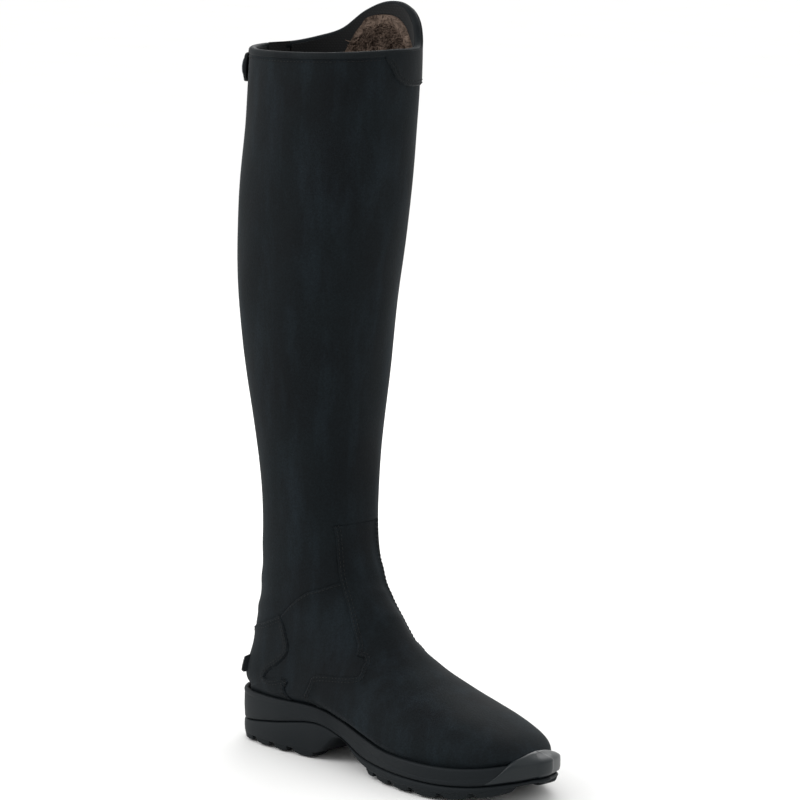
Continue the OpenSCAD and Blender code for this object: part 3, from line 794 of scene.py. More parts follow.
class BOOT_OT_shaft(bpy.types.Operator):
    """Builds the two halves of the leather shaft"""
    bl_idname = "boot.shaft"
    bl_label = "Leather shaft"

    def execute(self, context):
        below = (vamp_edges(), counter_edges(), quarter_edges(-1), quarter_edges(1))
        sinks = [under(loop_of(edges)) for edges in below]
        for side in (-1, 1):
            split = P_SPLIT * side
            us = np.linspace(split, .955, 120)
            top = np.stack([rim(side * us) + .012, side * us], -1)
            rear = on_side(side, [(7.2, .955), (7.32, .965), (7.42, .99), (7.5, .9995), (7.8, .9995),
                                  (8.3, .9995), (8.88, .9995)])
            rear = np.concatenate([[top[-1]], curve(rear)])
            low = curve(on_side(side, [(8.88, .9995), (8.86, .8), (8.82, .6), (8.74, .5), (8.5, .43),
                                       (8.3, .36), (8.24, .29), (8.15, .22), (8.1, .15)]))
            ankle = [tuple(low[-1]), (7.04, side * .15)]
            edges = [(top, False), (rear, False), (low, False), (ankle, False),
                     ([ankle[-1], (7.04, P_SPLIT)], False), ([(7.04, P_SPLIT), tuple(top[0])], False)]
            piece = panel(f"leg_leather_{word(side)}", finish("leather"), edges, step=2.2, roll=.4,
                          lift=lambda near, t, p: np.minimum.reduce([s(t, p) for s in sinks]))
            on_half(piece, side, "leather", f"leg_{word(side)}")
        # A strip behind the front seam, so no light shows through there.
        tape = strip(-1, .04, .1, lambda p: rim(p) + .04, flat(6.9), (False,) * 4)
        piece = panel("front_seam_tape", finish("leather"), tape, step=2, depth=1.84, thick=.4, roll=.2)
        on_half(piece, -1, "leather")
        return {"FINISHED"}


def facing_depth(p):
    """Depth of the facing below the rim, in t: shallow round the arch, deep towards the back."""
    inner, outer = [catmull(row[:, None], 10 * np.abs(p))[..., 0] for row in (FACING_INNER, FACING_OUTER)]
    return FACING_H * np.where(p < 0, inner, outer)


# The raised cuff patch: its two curved sides and the level edge between them.
CUFF_LEFT = [(1.3, -.022), (1.44, .0), (1.53, .04), (1.565, .1)]
CUFF_RIGHT = [(1.565, .4), (1.53, .46), (1.44, .5), (1.25, .53), (1.0, .545)]
CUFF_FOOT = [(1.565, .1), (1.565, .4)]


class BOOT_OT_top(bpy.types.Operator):
    """Builds the rolled binding, the facing and the raised cuff patch"""
    bl_idname = "boot.top_edge"
    bl_label = "Top edge"

    def execute(self, context):
        roll = [(2.4, -3.4), (2.75, -3.1), (2.8, -1.8), (2.65, -.5), (2.1, .5), (1.1, 1.1), (0, 1.25),
                (-1.1, 1.1), (-2.1, .5), (-2.6, -.5), (-2.7, -1.8), (-2.65, -3.1), (-2.3, -3.4)]
        for side in (-1, 1):
            us = np.linspace(P_SPLIT * side, .957, 170)
            p = side * us
            t = rim(p)
            path = surf(t, p, 2.0)
            out = outward(t, p)
            along = np.gradient(path, axis=0)
            along /= np.linalg.norm(along, axis=1, keepdims=True)
            up = np.cross(out, along)
            up *= np.sign(up[:, 2:3])
            up /= np.linalg.norm(up, axis=1, keepdims=True)
            path = path + out * (swell(t, p) * MM)[:, None]
            piece = sweep(f"top_binding_{word(side)}_roll", finish("smooth_leather"), path, (out, up), roll)
            on_half(piece, side, "binding_leather", f"top_binding_{word(side)}")
            face = strip(side, P_SPLIT * side, .93, lambda p: rim(p) + .02,
                         lambda p: rim(p) + facing_depth(p), (False, False, True, False))
            piece = panel(f"facing_{word(side)}_cloth", finish("facing"), face, step=2, depth=2.4, thick=2.6,
                          roll=.6, wavy=False)
            on_half(piece, side, "facing", f"facing_{word(side)}")
        left = curve([(rim(-.062) + .01, -.062), (1.15, -.05), *CUFF_LEFT])
        right = curve([*CUFF_RIGHT, (float(rim(.55)) + .01, .55)])
        us = np.linspace(.55, -.062, 120)
        patch = [(left, True), (CUFF_FOOT, True), (right, True), (np.stack([rim(us) + .01, us], -1), False)]
        piece = panel("cuff_patch_leather", finish("smooth_leather"), patch, step=1.6, depth=-1.3,
                      thick=1.6, roll=.9)
        on_half(piece, 1, "binding_leather", "cuff_patch")
        return {"FINISHED"}


def pile_height(xyz):
    """Lumps of the pile, in millimetres, from points in millimetres."""
    rng = np.random.default_rng(5)
    k = rng.normal(size=(26, 3))
    k = k / np.linalg.norm(k, axis=1, keepdims=True) * (2 * np.pi / rng.uniform(4.5, 15, 26))[:, None]
    return np.sin(xyz @ k.T + rng.uniform(0, 6.28, 26)).sum(-1) * .22


def pile_sheet(name, t_top, t_low, p0, p1, depth, thick, rows, cols):
    """A closed shell of fleece with a lumpy inner face. t_top and t_low give t from p."""
    p = np.linspace(p0, p1, cols + 1)
    w = np.linspace(0, 1, rows + 1)[:, None]
    t = t_top(p)[None] * (1 - w) + t_low(p)[None] * w
    p = np.broadcast_to(p, t.shape)
    outer, inner = surf(t, p, depth), surf(t, p, depth + thick)
    inner = inner - outward(t, p) * (pile_height(inner / MM) * MM)[..., None]
    verts = np.concatenate([outer.reshape(-1, 3), inner.reshape(-1, 3)])
    return make(name, verts, shell_faces(rows, cols), finish("fleece"))


def locks(name, count, t_top, deep, p0, p1, depth, length, seed):
    """Locks of pile: short curved tapering tufts that stand on the fleece's inner face."""
    rng = np.random.default_rng(seed)
    parts = []
    ring = np.linspace(0, 2 * np.pi, 5, endpoint=False)
    p = rng.uniform(p0, p1, count)
    t = t_top(p) + deep * rng.uniform(0, 1, count) ** 1.5
    root = surf(t, p, depth)
    out = outward(t, p)
    for i in range(count):
        lean = rng.normal(size=3) * .6 + np.array([0, 0, -.7])
        curl = rng.normal(size=3) * .55
        lean, curl = [v - out[i] * max(0, v @ out[i]) for v in (lean, curl)]
        size = length * rng.uniform(.6, 1.15) * MM
        wide = rng.uniform(.35, .7) * MM
        way = -out[i] + lean
        way /= np.linalg.norm(way)
        rings = []
        for s, w in ((0, 1), (.35, .95), (.7, .7), (1, .12)):
            centre = root[i] + way * size * s + curl * size * s * s
            side = np.cross(way, [.3, .2, .93])
            side /= np.linalg.norm(side)
            other = np.cross(side, way)
            rings.append(centre + (np.cos(ring)[:, None] * side + np.sin(ring)[:, None] * other) * wide * w)
        parts.append((np.concatenate(rings), tube_faces(len(rings), len(ring))))
    return flip_check(joined(name, parts, finish("fleece"), 80))


class BOOT_OT_lining(bpy.types.Operator):
    """Builds the fleece lining and the footbed"""
    bl_idname = "boot.lining"
    bl_label = "Fleece lining"

    def execute(self, context):
        length = context.scene.boot_sizes.pile_length

        def top(p):
            return rim(p) + facing_depth(p) + .01

        for side in (-1, 1):
            p0, p1 = sorted((P_SPLIT, side * .93))
            shell = pile_sheet(f"leg_fleece_{word(side)}", top, flat(7.25), p0, p1, D_LINING, FLEECE,
                               200, 84)
            on_half(shell, side, "fleece", f"leg_lining_{word(side)}")
            tufts = locks(f"leg_pile_{word(side)}", 3200, lambda p: top(p) + .12, 1.3, p0 + .005, p1 - .005,
                          D_LINING + FLEECE - .8, length, 20 + side)
            on_half(tufts, side, "fleece")
        foot = pile_sheet("foot_fleece", flat(7.37), flat(14.6), -.95, .95, D_LINING + .6, FLEECE - .6,
                          110, 90)
        on_root(foot, "fleece", "foot_lining")
        bed = sole_slab("footbed_pile", finish("fleece"), s0=.9, s1=10.2, inset=16.6, low=4.2, high=7.4)
        on_root(bed, "fleece", "footbed")
        return {"FINISHED"}


# ---------------------------------------------------------------- the sole
def outline_loop(count=120):
    """The sole's outline as a closed loop, with its station at each point and inward normals."""
    s = np.linspace(0, 12, count)
    row = catmull(OUTLINE, s)
    inner = np.stack([row[:, 0], -row[:, 1]], -1)
    outer = np.stack([row[:, 0], row[:, 2]], -1)
    arc = np.linspace(0, np.pi, 9)[1:-1]
    toe = np.stack([279 + 1.6 * np.sin(arc), 2.5 - 6.5 * np.cos(arc)], -1)
    heel = np.stack([-7 - .8 * np.sin(arc), 6 * np.cos(arc)], -1)
    xy = np.concatenate([inner, toe, outer[::-1], heel])
    station = np.concatenate([s, np.full(7, 12.), s[::-1], np.zeros(7)])
    ahead, behind = np.roll(xy, -1, 0), np.roll(xy, 1, 0)
    to = ahead - behind
    to /= np.linalg.norm(to, axis=1, keepdims=True)
    normal = np.stack([-to[:, 1], to[:, 0]], -1)
    xy = xy - np.array([MID_X, 0])
    return xy, normal, station, count


def level(s, which):
    """One of the sole's levels at station s."""
    return np.maximum(0, catmull(LEVELS, s)[..., which])


def ring_solid(name, material, profile, hollow=False, sharp=50):
    """A solid round the sole's outline. profile(station) gives (inset, height) arrays from the
    bottom up. It is closed by a floor and a top, or it is a hollow ring."""
    xy, normal, s, count = outline_loop()
    rows = profile(s)
    inset = np.stack([np.broadcast_to(r[0], s.shape) for r in rows], 1)
    z = np.stack([np.broadcast_to(r[1], s.shape) for r in rows], 1)
    m, n = len(rows), len(s)
    verts = np.concatenate([xy[:, None] + normal[:, None] * inset[..., None], z[..., None]], -1)
    verts = verts.reshape(-1, 3) * MM
    if hollow:
        return flip_check(make(name, verts, tube_faces(n, m, closed=True), material, sharp))
    faces = [(i * m + j, (i + 1) % n * m + j, (i + 1) % n * m + j + 1, i * m + j + 1)
             for i in range(n) for j in range(m - 1)]
    for j in (0, m - 1):
        for i in range(count - 1):
            a, b = i * m + j, (i + 1) * m + j
            c, d = (count + 7 + count - 2 - i) * m + j, (count + 7 + count - 1 - i) * m + j
            faces.append((a, b, c, d))
        faces.append(tuple(i * m + j for i in range(count - 1, count + 8)))
        faces.append(tuple(i % n * m + j for i in range(2 * count + 6, 2 * count + 15)))
    return flip_check(make(name, verts, faces, material, sharp))


def sole_slab(name, material, s0, s1, inset, low, high):
    """A soft-edged insert inside the boot, drawn in from the outline."""
    rows, cols = 59, 14
    stations = np.linspace(s0, s1, rows + 1)
    outline = catmull(OUTLINE, stations)
    inner, outer = [np.stack([outline[:, 0] - MID_X, side * (outline[:, k] - inset)], -1)
                    for side, k in ((-1, 1), (1, 2))]
    across = np.linspace(0, 1, cols + 1)[None, :, None]
    xy = inner[:, None] * (1 - across) + outer[:, None] * across
    end = np.clip(np.minimum(np.arange(rows + 1), rows - np.arange(rows + 1)) / 5, 0, 1)[:, None]
    crown = smooth(1 - np.abs(2 * across[..., 0] - 1)) ** .4 * np.sqrt(1 - (1 - end) ** 2)
    board = level(stations, 2)[:, None]
    lumps = pile_height(np.concatenate([xy, 0 * xy[..., :1]], -1)) * .4
    top = board + low + (high - low) * np.clip(crown, .15, 1) + lumps
    bottom = np.broadcast_to(board + low, top.shape)
    verts = np.concatenate([np.concatenate([xy, z[..., None]], -1).reshape(-1, 3) for z in (top, bottom)])
    return flip_check(make(name, verts * MM, shell_faces(rows, cols), material))


HEEL_CUTS = (.5, 1.7, 2.4, 3, 3.47, 4.1)
FORE_CUTS = (6.25, 6.7, 7.35, 8.1, 9, 9.95, 10.9)
LUG_GAP = .14
# How far the lugs run into the outsole, in millimetres, and the station where the bumper starts.
LUG_SINK = .8
S_BUMPER = 10.2


def lug(s0, s1, side, start, stop):
    """One tread block: its outer end follows the outline, and its foot is rounded like a lobe."""
    grow, across = np.linspace(0, 1, 13), np.array([0, .04, .12, .3, .5, .7, .88, .96, 1])
    verts = []
    for f in grow:
        row = catmull(OUTLINE, s0 + (s1 - s0) * f)
        full, floor = (row[1] if side < 0 else row[2]), float(level(s0 + (s1 - s0) * f, 0))
        for g in across:
            round_off = (1 - abs(2 * f - 1) ** 2.6) ** .5 * (1 - abs(2 * g - 1) ** 8) ** .5
            y = full * (start + (stop - start) * g) - .5 * (1 - round_off) * (g > .5)
            verts.append((row[0] - MID_X, side * y, floor + 3.3 * (1 - round_off)))
    top = []
    for x, y, _ in verts:
        s = np.interp(x + MID_X, OUTLINE[:, 0], np.arange(len(OUTLINE)))
        top.append((x, y, float(level(s, 0)) + LUG_H + LUG_SINK))
    return np.array(verts + top) * MM, shell_faces(len(grow) - 1, len(across) - 1)


def block(x0, x1, y0, y1, z0, z1, ease=1.0):
    """A block with eased lower edges."""
    loops = [(z0, ease), (z0 + .35 * ease, .35 * ease), (z0 + ease, 0), (z1, 0)]
    verts = []
    for z, e in loops:
        verts += [(x0 + e, y0 + e, z), (x1 - e, y0 + e, z), (x1 - e, y1 - e, z), (x0 + e, y1 - e, z)]
    return np.array(verts) * MM, tube_faces(len(loops), 4)


class BOOT_OT_sole(bpy.types.Operator):
    """Builds the sole's two layers and its side wall"""
    bl_idname = "boot.sole"
    bl_label = "Moulded sole"

    def execute(self, context):
        rubber = finish("rubber")

        def lower(s):
            base, top = level(s, 0) + LUG_H, level(s, 1)
            tall = np.maximum(top - base, .8)
            ease = np.minimum(1.6, .3 * tall)
            return [(3.0, base), (1.0, base + .12 * ease), (.25, base + .5 * ease), (0, base + ease),
                    (-.25, base + .5 * tall), (-.1, top - ease), (.25, top - .6 * ease),
                    (.9, top - .28 * ease), (2.0, top - .1)]

        def upper(s):
            base, top = level(s, 1), level(s, 2)
            tall = np.maximum(top - base, .8)
            ease = np.minimum(1.6, .3 * tall)
            return [(2.0, base + .15), (1.0, base + .35 * ease), (.35, base + .7 * ease), (.05, base + ease),
                    (-.3, base + .5 * tall), (-.1, top - .5), (.1, top + .1), (1.4, top + .15),
                    (3.0, top + .15)]

        def wall(s):
            base, top = level(s, 2) + .1, level(s, 3)
            return [(.1, base), (-.15, base + .3 * (top - base)), (-.3, top - 1.5), (-.05, top - .55),
                    (.5, top - .1), (1.2, top + .1), (2.1, top), (2.7, top - .6), (2.75, base)]

        body = ring_solid("outsole_body", rubber, lower)
        on_root(body, "sole_rubber", "outsole")
        middle = ring_solid("midsole_body", rubber, upper)
        on_root(middle, "sole_rubber", "midsole")
        rand = ring_solid("rand_wall", rubber, wall, True)
        on_root(rand, "sole_rubber", "rand")
        return {"FINISHED"}


def leather_side():
    """A function that gives how far in from the outline the leather's face is, at given heights."""
    t, p = np.meshgrid(np.linspace(11.5, 17, 260), np.linspace(-.999, .999, 500), indexing="ij")
    xyz = surf(t, p, 0).reshape(-1, 3) / MM
    xyz = xyz[xyz[:, 2] < 60]

    def reach(xy, normal, heights):
        off = xyz[:, :2] - xy
        along = off @ normal
        near = xyz[(np.abs(off @ np.array([-normal[1], normal[0]])) < 1) & (along < 14)]
        along = (near[:, :2] - xy) @ normal
        out = []
        for z in heights:
            close = along[np.abs(near[:, 2] - z) < 1]
            out.append(close.min() if len(close) else FOOT_INSET)
        return np.array(out)
    return reach


class BOOT_OT_tread(bpy.types.Operator):
    """Builds the polished toe bumper and the tread lugs"""
    bl_idname = "boot.tread"
    bl_label = "Toe bumper and lugs"

    def execute(self, context):
        xy, normal, s, count = outline_loop()
        first = int(np.searchsorted(s[:count], S_BUMPER))
        keep = np.arange(first, 2 * count + 7 - first)
        toe = leather_side()
        across = np.linspace(0, 1, 21)
        verts = []
        for i in keep:
            groove, top = float(level(s[i], 1)), float(level(s[i], 3))
            start = float(smooth((s[i] - S_BUMPER) / .9))
            low = groove + 1.4
            rise = top + .4 + 4.6 * smooth((s[i] - S_BUMPER - .1) / 1.5) - low
            high = low + rise * (.03 + .97 * start)
            z = low + (high - low) * across
            leather = toe(xy[i], normal[i], z)
            bulge = (.3 + 1.5 * start) * (1 - np.abs(2 * across - 1) ** 3) ** .5
            lapped = (leather + .2) * smooth((z - top + .5) / 5) - bulge
            face = np.where(z < top - .5, -bulge, np.minimum(lapped, leather - 1.0))
            face = np.where(across == 1, np.minimum(face + .8, leather - .1), face)
            back = np.maximum(face + .8, np.where(z > top, leather + .5, .9))
            verts += [(*(xy[i] + normal[i] * f), h) for f, h in zip(face, z)]
            verts += [(*(xy[i] + normal[i] * f), h - .15) for f, h in zip(back[::-1], z[::-1])]
        faces = tube_faces(len(keep), 2 * len(across))
        bumper = flip_check(make("toe_bumper_skin", np.array(verts) * MM, faces, finish("bumper"), 60))
        on_root(bumper, "bumper_rubber", "toe_bumper")
        heel = [lug(s0, s1 - LUG_GAP, side, .55, 1)
                for side in (-1, 1) for s0, s1 in zip(HEEL_CUTS, HEEL_CUTS[1:])]
        heel += [block(x - MID_X, x + 14 - MID_X, -10, 10, 0, LUG_H + LUG_SINK) for x in range(20, 55, 17)]
        on_root(flip_check(joined("heel_tread", heel, finish("tread"), 35)), "sole_rubber", "heel_lugs")
        fore = [lug(s0, s1 - LUG_GAP, side, .45, 1)
                for side in (-1, 1) for s0, s1 in zip(FORE_CUTS, FORE_CUTS[1:])]
        fore += [block(x - MID_X, x + 11 - MID_X, -13, 17, 0, LUG_H + LUG_SINK) for x in range(150, 199, 16)]
        fore = flip_check(joined("forefoot_tread", fore, finish("tread"), 35))
        on_root(fore, "sole_rubber", "forefoot_lugs")
        return {"FINISHED"}


# ---------------------------------------------------------------- the zip and its hardware
TAB_TOP, TAB_END, TAB_H, TAB_T, D_TAB, SNAP_P = 1.1, 1.21, 20 / 48, 2.2, -1.9, 1.165


# Half of one tooth's outline: how far from the middle line, half its width and half its depth.
TOOTH = ((3.0, .5, .8), (2.5, .62, 1.15), (1.1, .5, 1.15), (.7, .42, 1.0), (.1, .68, 1.15),
         (-.45, .5, 1.0), (-.6, .2, .5))


def tooth(t, side):
    """One moulded tooth: a foot on the tape, a neck and a round head that meets its neighbours."""
    centre = surf(t, 1.0, 1.7)
    back, down = outward(t, .9999), surf(t + .02, .9999, 1) - surf(t - .02, .9999, 1)
    down = down / np.linalg.norm(down)
    across = np.cross(down, back)
    across = across * np.sign(across[1]) * side
    rings = []
    for reach, half, deep in TOOTH:
        ring = [(half, .6 * deep), (.6 * half, deep), (-.6 * half, deep), (-half, .6 * deep),
                (-half, -.6 * deep), (-.6 * half, -deep), (.6 * half, -deep), (half, -.6 * deep)]
        rings.append([centre + (across * reach + down * a + back * b) * MM for a, b in ring])
    return np.concatenate(rings), tube_faces(len(rings), 8)


class BOOT_OT_zip(bpy.types.Operator):
    """Builds the zip's tapes, teeth, plackets, guard and stop"""
    bl_idname = "boot.zip"
    bl_label = "Back zip"

    def execute(self, context):
        pitch = context.scene.boot_sizes.tooth_pitch
        foot = flat(7.29)
        for side in (-1, 1):
            edges = strip(side, .90, .957, lambda p: rim(p) + .03, foot)
            piece = panel(f"placket_{word(side)}_strip", finish("smooth_leather"), edges, step=1.6, depth=-.9,
                          thick=1.4, roll=.9, lift=lap(.25, 2.5))
            on_half(piece, side, "binding_leather", f"placket_{word(side)}")
            edges = strip(side, .935, .9835, lambda p: rim(p) + .03, foot, (False,) * 4)
            piece = panel(f"zip_tape_{word(side)}_weave", finish("tape"), edges, step=1.6, depth=2.2,
                          thick=.8, roll=.2, wavy=False)
            on_half(piece, side, "zip_tape", f"zip_tape_{word(side)}")
            line = np.linspace(1.45, 7.26, 600)
            gaps = np.linalg.norm(np.diff(surf(line, .99, 1), axis=0), axis=1) / MM
            run = np.concatenate([[0], np.cumsum(gaps)])
            at = np.arange(1 + (pitch / 2 if side > 0 else 0), run[-1], pitch)
            parts = [tooth(t, side) for t in np.interp(at, run, line)]
            teeth = flip_check(joined(f"zip_teeth_{word(side)}_row", parts, finish("teeth"), 40))
            on_half(teeth, side, "zip_plastic", f"zip_teeth_{word(side)}")
        guard = strip(1, .938, 1.055, flat(T_RIM - .03), foot)
        piece = panel("zip_guard_flap", finish("facing"), guard, step=2.2, depth=D_LINING + .1, thick=1,
                      roll=.4, wavy=False)
        on_half(piece, 1, "facing", "zip_guard")
        stop = strip(1, .985, 1.015, flat(7.32), flat(7.40))
        piece = panel("zip_stop_clip", finish("gunmetal"), stop, step=.6, depth=-1.1, thick=1.6, roll=.6,
                      wavy=False)
        on_root(piece, "zip_metal", "zip_stop")
        return {"FINISHED"}


def solid_outline(outline, x0, x1, bevel):
    """A plate cut to an outline in y and z, from x0 to x1, with eased edges, as a bmesh."""
    bm = bmesh.new()
    ring = [bm.verts.new((x0 * MM, y * MM, z * MM)) for y, z in outline]
    face = bm.faces.new(ring)
    made = bmesh.ops.extrude_face_region(bm, geom=[face])
    moved = [v for v in made["geom"] if isinstance(v, bmesh.types.BMVert)]
    bmesh.ops.translate(bm, verts=moved, vec=((x1 - x0) * MM, 0, 0))
    bmesh.ops.recalc_face_normals(bm, faces=bm.faces)
    bmesh.ops.bevel(bm, geom=list(bm.edges), offset=bevel * MM, segments=3, profile=.5, affect="EDGES",
                    clamp_overlap=True)
    return bm


def gathered(name, meshes, material, matrix, sharp=40):
    """One object from several bmeshes, placed by a matrix."""
    verts, faces, base = [], [], 0
    for bm in meshes:
        bm.verts.index_update()
        verts += [matrix @ v.co for v in bm.verts]
        faces += [tuple(v.index + base for v in f.verts) for f in bm.faces]
        base += len(bm.verts)
        bm.free()
    return make(name, verts, faces, material, sharp)


def rod(radius, length, hole=0, turns=28, ease=.25):
    """A rod along y about the origin with eased ends, and a hole along it if wanted."""
    end = length / 2
    profile = [(radius - ease, -end), (radius, ease - end), (radius, end - ease), (radius - ease, end)]
    if hole:
        profile += [(hole, end), (hole, -end)]
    else:
        profile = [(.001, -end), *profile, (.001, end)]
    bm = bmesh.new()
    rings = []
    for k in range(turns):
        a = 2 * np.pi * k / turns
        rings.append([bm.verts.new((r * math.cos(a) * MM, y * MM, r * math.sin(a) * MM)) for r, y in profile])
    m = len(profile)
    for k in range(turns):
        for j in range(m if hole else m - 1):
            a, b = rings[k], rings[(k + 1) % turns]
            bm.faces.new((a[j], b[j], b[(j + 1) % m], a[(j + 1) % m]))
    bmesh.ops.recalc_face_normals(bm, faces=bm.faces)
    return bm


SLIDER_Z, SLIDER_LEAN = 455, 8


class BOOT_OT_slider(bpy.types.Operator):
    """Builds the zip's slider and its pull"""
    bl_idname = "boot.slider"
    bl_label = "Slider and pull"

    def execute(self, context):
        back = float(catmull(STATIONS, 1.9)[2]) - MID_X - 1.8
        place = Matrix.Translation((back * MM, 0, SLIDER_Z * MM))
        place = place @ Matrix.Rotation(math.radians(SLIDER_LEAN), 4, "Y")
        shield = [(-3.6, -8.5), (3.6, -8.5), (4.6, -4), (5.4, 2), (5.5, 6), (4.2, 8.3), (1.2, 8.5), (0, 7.2),
                  (-1.2, 8.5), (-4.2, 8.3), (-5.5, 6), (-5.4, 2), (-4.6, -4)]
        plate = solid_outline(shield, -3, -1.5, .45)
        under_plate = solid_outline([(y * .94, z * .97) for y, z in shield], -1.7, 0, .35)
        rib = solid_outline([(-1.1, -7), (1.1, -7), (1.1, 1), (-1.1, 1)], -3.6, -2.5, .35)
        ears = [solid_outline([(y - .75, 2), (y + .75, 2), (y + .75, 6), (y - .75, 6)], -7.4, -2.4, .6)
                for y in (-3.3, 3.3)]
        bar = rod(.9, 6.1)
        bmesh.ops.translate(bar, verts=bar.verts, vec=(-5.6 * MM, 0, 4 * MM))
        slider = gathered("zip_slider_body", [plate, under_plate, rib, *ears, bar], finish("gunmetal"), place)
        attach(slider, "slider")
        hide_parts("zip_slider")
        eye = rod(2.2, 4.6, .98)
        neck = solid_outline([(-2.1, -9.5), (2.1, -9.5), (2.2, -1.4), (-2.2, -1.4)], -.8, .8, .35)
        outline = [(-1.8, -7.4), (-3.2, -8.6), (-3.9, -11), (-4, -25), (-3.3, -28.4), (-1.6, -29.9),
                   (1.6, -29.9), (3.3, -28.4), (4, -25), (3.9, -11), (3.2, -8.6), (1.8, -7.4)]
        grip = solid_outline(outline, -.95, .95, .5)
        pad = solid_outline([(y * .62, -18 + (z + 18) * .72) for y, z in outline], -1.3, 1.3, .35)
        ridges = [solid_outline([(y, z + .4 * up) for y, up in ((-1.7, -1), (1.7, -1), (1.7, 1), (-1.7, 1))],
                                -1.6, 1.6, .25) for z in range(-23, -14, 2)]
        hang = place @ Matrix.Translation((-5.6 * MM, 0, 4 * MM))
        pull = gathered("zip_pull_tab", [eye, neck, grip, pad, *ridges], finish("gunmetal"), hang)
        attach(pull, "pull")
        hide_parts("zip_pull")
        return {"FINISHED"}


def dome(name, t, p, profile, material, turns=40):
    """A turned piece on the surface. profile is (radius, mm out from the face)."""
    centre, out = surf(t, p, 0), outward(t, p)
    side = np.cross(out, [0, 0, 1])
    side /= np.linalg.norm(side)
    up = np.cross(side, out)
    verts, faces, m = [], [], len(profile)
    for k in range(turns):
        a = 2 * np.pi * k / turns
        spoke = side * math.cos(a) + up * math.sin(a)
        verts += [centre + (out * h + spoke * max(r, .001)) * MM for r, h in profile]
        n = (k + 1) % turns
        faces += [(k * m + j, n * m + j, n * m + j + 1, k * m + j + 1) for j in range(m - 1)]
    return flip_check(make(name, verts, faces, material, 35))


class BOOT_OT_snap(bpy.types.Operator):
    """Builds the snap tab, its cap and the stud"""
    bl_idname = "boot.snap"
    bl_label = "Snap tab"

    def execute(self, context):
        top, low, mid = TAB_TOP, TAB_TOP + TAB_H, TAB_TOP + TAB_H / 2
        a = np.linspace(-np.pi / 2, np.pi / 2, 40)
        nose = np.stack([mid + np.sin(a) * TAB_H / 2, TAB_END - .045 + np.cos(a) * .045], -1)
        edges = [([(top, .90), (top, TAB_END - .045)], True), (nose, True),
                 ([(low, TAB_END - .045), (low, .90)], True), ([(low, .90), (top, .90)], True)]
        tab = panel("snap_tab_strap", finish("smooth_leather"), edges, step=1.1, depth=D_TAB - TAB_T,
                    thick=TAB_T, roll=.9, wavy=False)
        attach(tab, "tab")
        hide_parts("snap_tab")
        face = TAB_T - D_TAB
        turned = [(0, 1.5), (2.2, 1.46), (4.0, 1.3), (5.0, 1.0), (5.2, .8), (5.9, .85), (6.15, .6), (6.2, .3),
                  (5.9, .05), (0, .05)]
        cap = dome("snap_cap_dome", mid, SNAP_P, [(r, face + h) for r, h in turned], finish("gunmetal"))
        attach(cap, "tab")
        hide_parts("snap_cap")
        turned = [(0, 1.4), (1.6, 1.35), (1.9, 1.1), (1.7, .8), (3.6, .75), (4.4, .6), (4.5, .3), (4.3, .1),
                  (0, .1)]
        stud = dome("snap_stud_post", mid, SNAP_P, turned, finish("steel"))
        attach(stud, "half_medial")
        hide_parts("snap_stud")
        return {"FINISHED"}


def sew(name, rows, side=0):
    """Sews rows of thread that are baked in place for a half of the shaft, or ride with the root when side is
    0.
    """
    sizes = bpy.context.scene.boot_sizes
    thread = stitches(name, finish("thread"), rows, sizes.stitch_pitch, STITCH, sizes.thread)
    if side:
        on_half(thread, side, "binding_leather")
    else:
        on_root(thread, "binding_leather")


class BOOT_OT_stitching(bpy.types.Operator):
    """Sews the rows of thread along the seams"""
    bl_idname = "boot.stitching"
    bl_label = "Stitching"

    def execute(self, context):
        for side in (-1, 1):
            seam = curve(on_side(side, VAMP_SEAM[:-1]))
            top = curve(on_side(side, [c for c in CREASE if c[1] <= .5]))
            front = curve(on_side(side, COUNTER[:-1]))
            sew(f"foot_stitches_{word(side)}", [
                (seam, -1.6 * side, .97), (seam, -3.9 * side, .62), (top, -1.6 * side, .58),
                (front, 1.6 * side, .84), (front, 3.8 * side, .4)])
            down_strip, near_zip = [np.stack([np.linspace(1.1, 7.22, 400), np.full(400, u * side)], -1)
                                    for u in (.909, .947)]
            sew(f"placket_stitches_{word(side)}", [(down_strip, 0, 1.2), (near_zip, 0, 1.2)], side)
            us = np.linspace(P_SPLIT * side + .004, .895, 300)
            hem = np.stack([rim(side * us) + .115, side * us], -1)
            sew(f"hem_stitches_{word(side)}", [(hem, 0, .12)], side)
        top = [c for c in CREASE if c[1] >= .49]
        high = curve(top + [(t, 2 - p) for t, p in top[::-1][1:]])
        sew("heel_stitches", [(high, -1.6, .84), (high, -3.8, .4)])
        edges = (curve([(1.16, -.048), *CUFF_LEFT]), CUFF_FOOT, curve([*CUFF_RIGHT, (.56, .55)]))
        sew("cuff_stitches", [(edge, aside, 1.35) for edge in edges for aside in (1.7, 3.9)], 1)
        return {"FINISHED"}


class BOOT_OT_inside(bpy.types.Operator):
    """Gives the hidden shank, board and stiffeners their finishes"""
    bl_idname = "boot.inside"
    bl_label = "Inner stiffening"

    def execute(self, context):
        finishes = {"shank": "steel", "insole_board": "board", "counter_stiffener": "stiffener",
                    "toe_puff": "stiffener"}
        for node, key in finishes.items():
            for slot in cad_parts[node].material_slots:
                slot.material = finish(key)
        return {"FINISHED"}


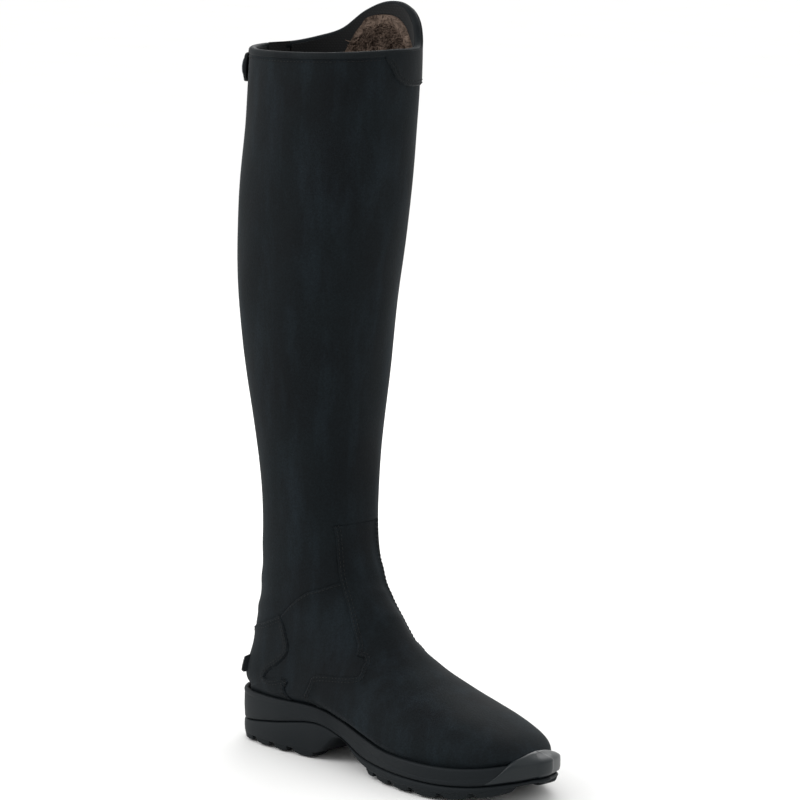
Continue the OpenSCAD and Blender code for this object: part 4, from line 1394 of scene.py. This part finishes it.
class BOOT_OT_stage(bpy.types.Operator):
    """Builds the floor, the soft lights and the camera"""
    bl_idname = "boot.stage"
    bl_label = "Floor, lights and camera"

    def execute(self, context):
        scene = context.scene
        paint, tree, where = blank("Painted studio floor")
        fleck = noise(tree, where, 1000 / 6, 2)
        tone = mix(tree, fleck, linear("#f1f1f0"), linear("#f6f6f5"))
        finish_material(tree, {"Base Color": tone, "Roughness": .9, "Specular IOR Level": .1})
        size, drop = 14, -.0006
        corners = [(-size, -size, drop), (size, -size, drop), (size, size, drop), (-size, size, drop)]
        floor = make("studio_floor", corners, [(0, 1, 2, 3)], paint)
        world = bpy.data.worlds.new("studio_light")
        scene.world = world
        world.use_nodes = True
        # A bright backdrop behind the boot that falls away to a dimmer room in front of it.
        tree = world.node_tree
        way = add_node(tree, "ShaderNodeTexCoord").outputs["Generated"]
        behind = add_node(tree, "ShaderNodeVectorMath", {"operation": "DOT_PRODUCT"}, {
            0: way, 1: (-.37, .33, .87)}).outputs["Value"]
        strength = add_node(tree, "ShaderNodeMapRange", inputs={
            "Value": behind, "From Min": -.45, "From Max": .5, "To Min": .4, "To Max": 1.2}).outputs[0]
        tree.links.new(strength, tree.nodes["Background"].inputs["Strength"])
        tree.nodes["Background"].inputs["Color"].default_value = (1, 1, 1, 1)
        scene.view_settings.view_transform = "Standard"
        aim = Vector((-.02, 0, .25))
        softboxes = (("key_softbox", (-1.1, -1.9, 1.7), 1.4, 24), ("front_softbox", (2.2, -.6, 1.2), 1.2, 5),
                     ("back_softbox", (-1.2, 1.6, 1.4), 1.2, 14))
        for name, place, wide, power in softboxes:
            light = bpy.data.lights.new(name, "AREA")
            light.size, light.energy = wide, power
            lamp = bpy.data.objects.new(name, light)
            scene.collection.objects.link(lamp)
            lamp.location = place
            lamp.rotation_euler = (aim - Vector(place)).to_track_quat("-Z", "Y").to_euler()
        turn, rise, far = math.radians(48), math.radians(9.2), 2.5
        away = Vector((math.sin(turn) * math.cos(rise), -math.cos(turn) * math.cos(rise), math.sin(rise)))
        camera = bpy.data.cameras.new("studio_camera")
        camera.lens, camera.sensor_width = 159.75, 36
        camera.shift_x, camera.shift_y = .06375, -.01375
        camera.clip_end = 60
        eye = bpy.data.objects.new("studio_camera", camera)
        scene.collection.objects.link(eye)
        eye.location = Vector((-.051, 0, .262)) + away * far
        eye.rotation_euler = (-away).to_track_quat("-Z", "Y").to_euler()
        scene.camera = eye
        return {"FINISHED"}


OPERATORS = (BOOT_OT_stage, BOOT_OT_upper, BOOT_OT_shaft, BOOT_OT_top, BOOT_OT_lining, BOOT_OT_sole,
             BOOT_OT_tread, BOOT_OT_zip, BOOT_OT_slider, BOOT_OT_snap, BOOT_OT_stitching, BOOT_OT_inside)


class BOOT_PT_panel(bpy.types.Panel):
    """Lists the boot's colours, sizes and pieces"""
    bl_idname = "BOOT_PT_panel"
    bl_label = "Riding boot"
    bl_space_type = "VIEW_3D"
    bl_region_type = "UI"
    bl_category = "Boot"

    def draw(self, context):
        for group in (context.scene.boot_look, context.scene.boot_sizes):
            for key in group.__annotations__:
                self.layout.prop(group, key)
        for operator in OPERATORS:
            self.layout.operator(operator.bl_idname)


CLASSES = (BootLook, BootSizes, *OPERATORS, BOOT_PT_panel)


def register():
    for item in CLASSES:
        bpy.utils.register_class(item)
    bpy.types.Scene.boot_look = bpy.props.PointerProperty(type=BootLook)
    bpy.types.Scene.boot_sizes = bpy.props.PointerProperty(type=BootSizes)


def unregister():
    del bpy.types.Scene.boot_look
    del bpy.types.Scene.boot_sizes
    for item in reversed(CLASSES):
        bpy.utils.unregister_class(item)


def main():
    register()
    for operator in OPERATORS:
        group, name = operator.bl_idname.split(".")
        getattr(getattr(bpy.ops, group), name)()


if __name__ == "__main__":
    main()
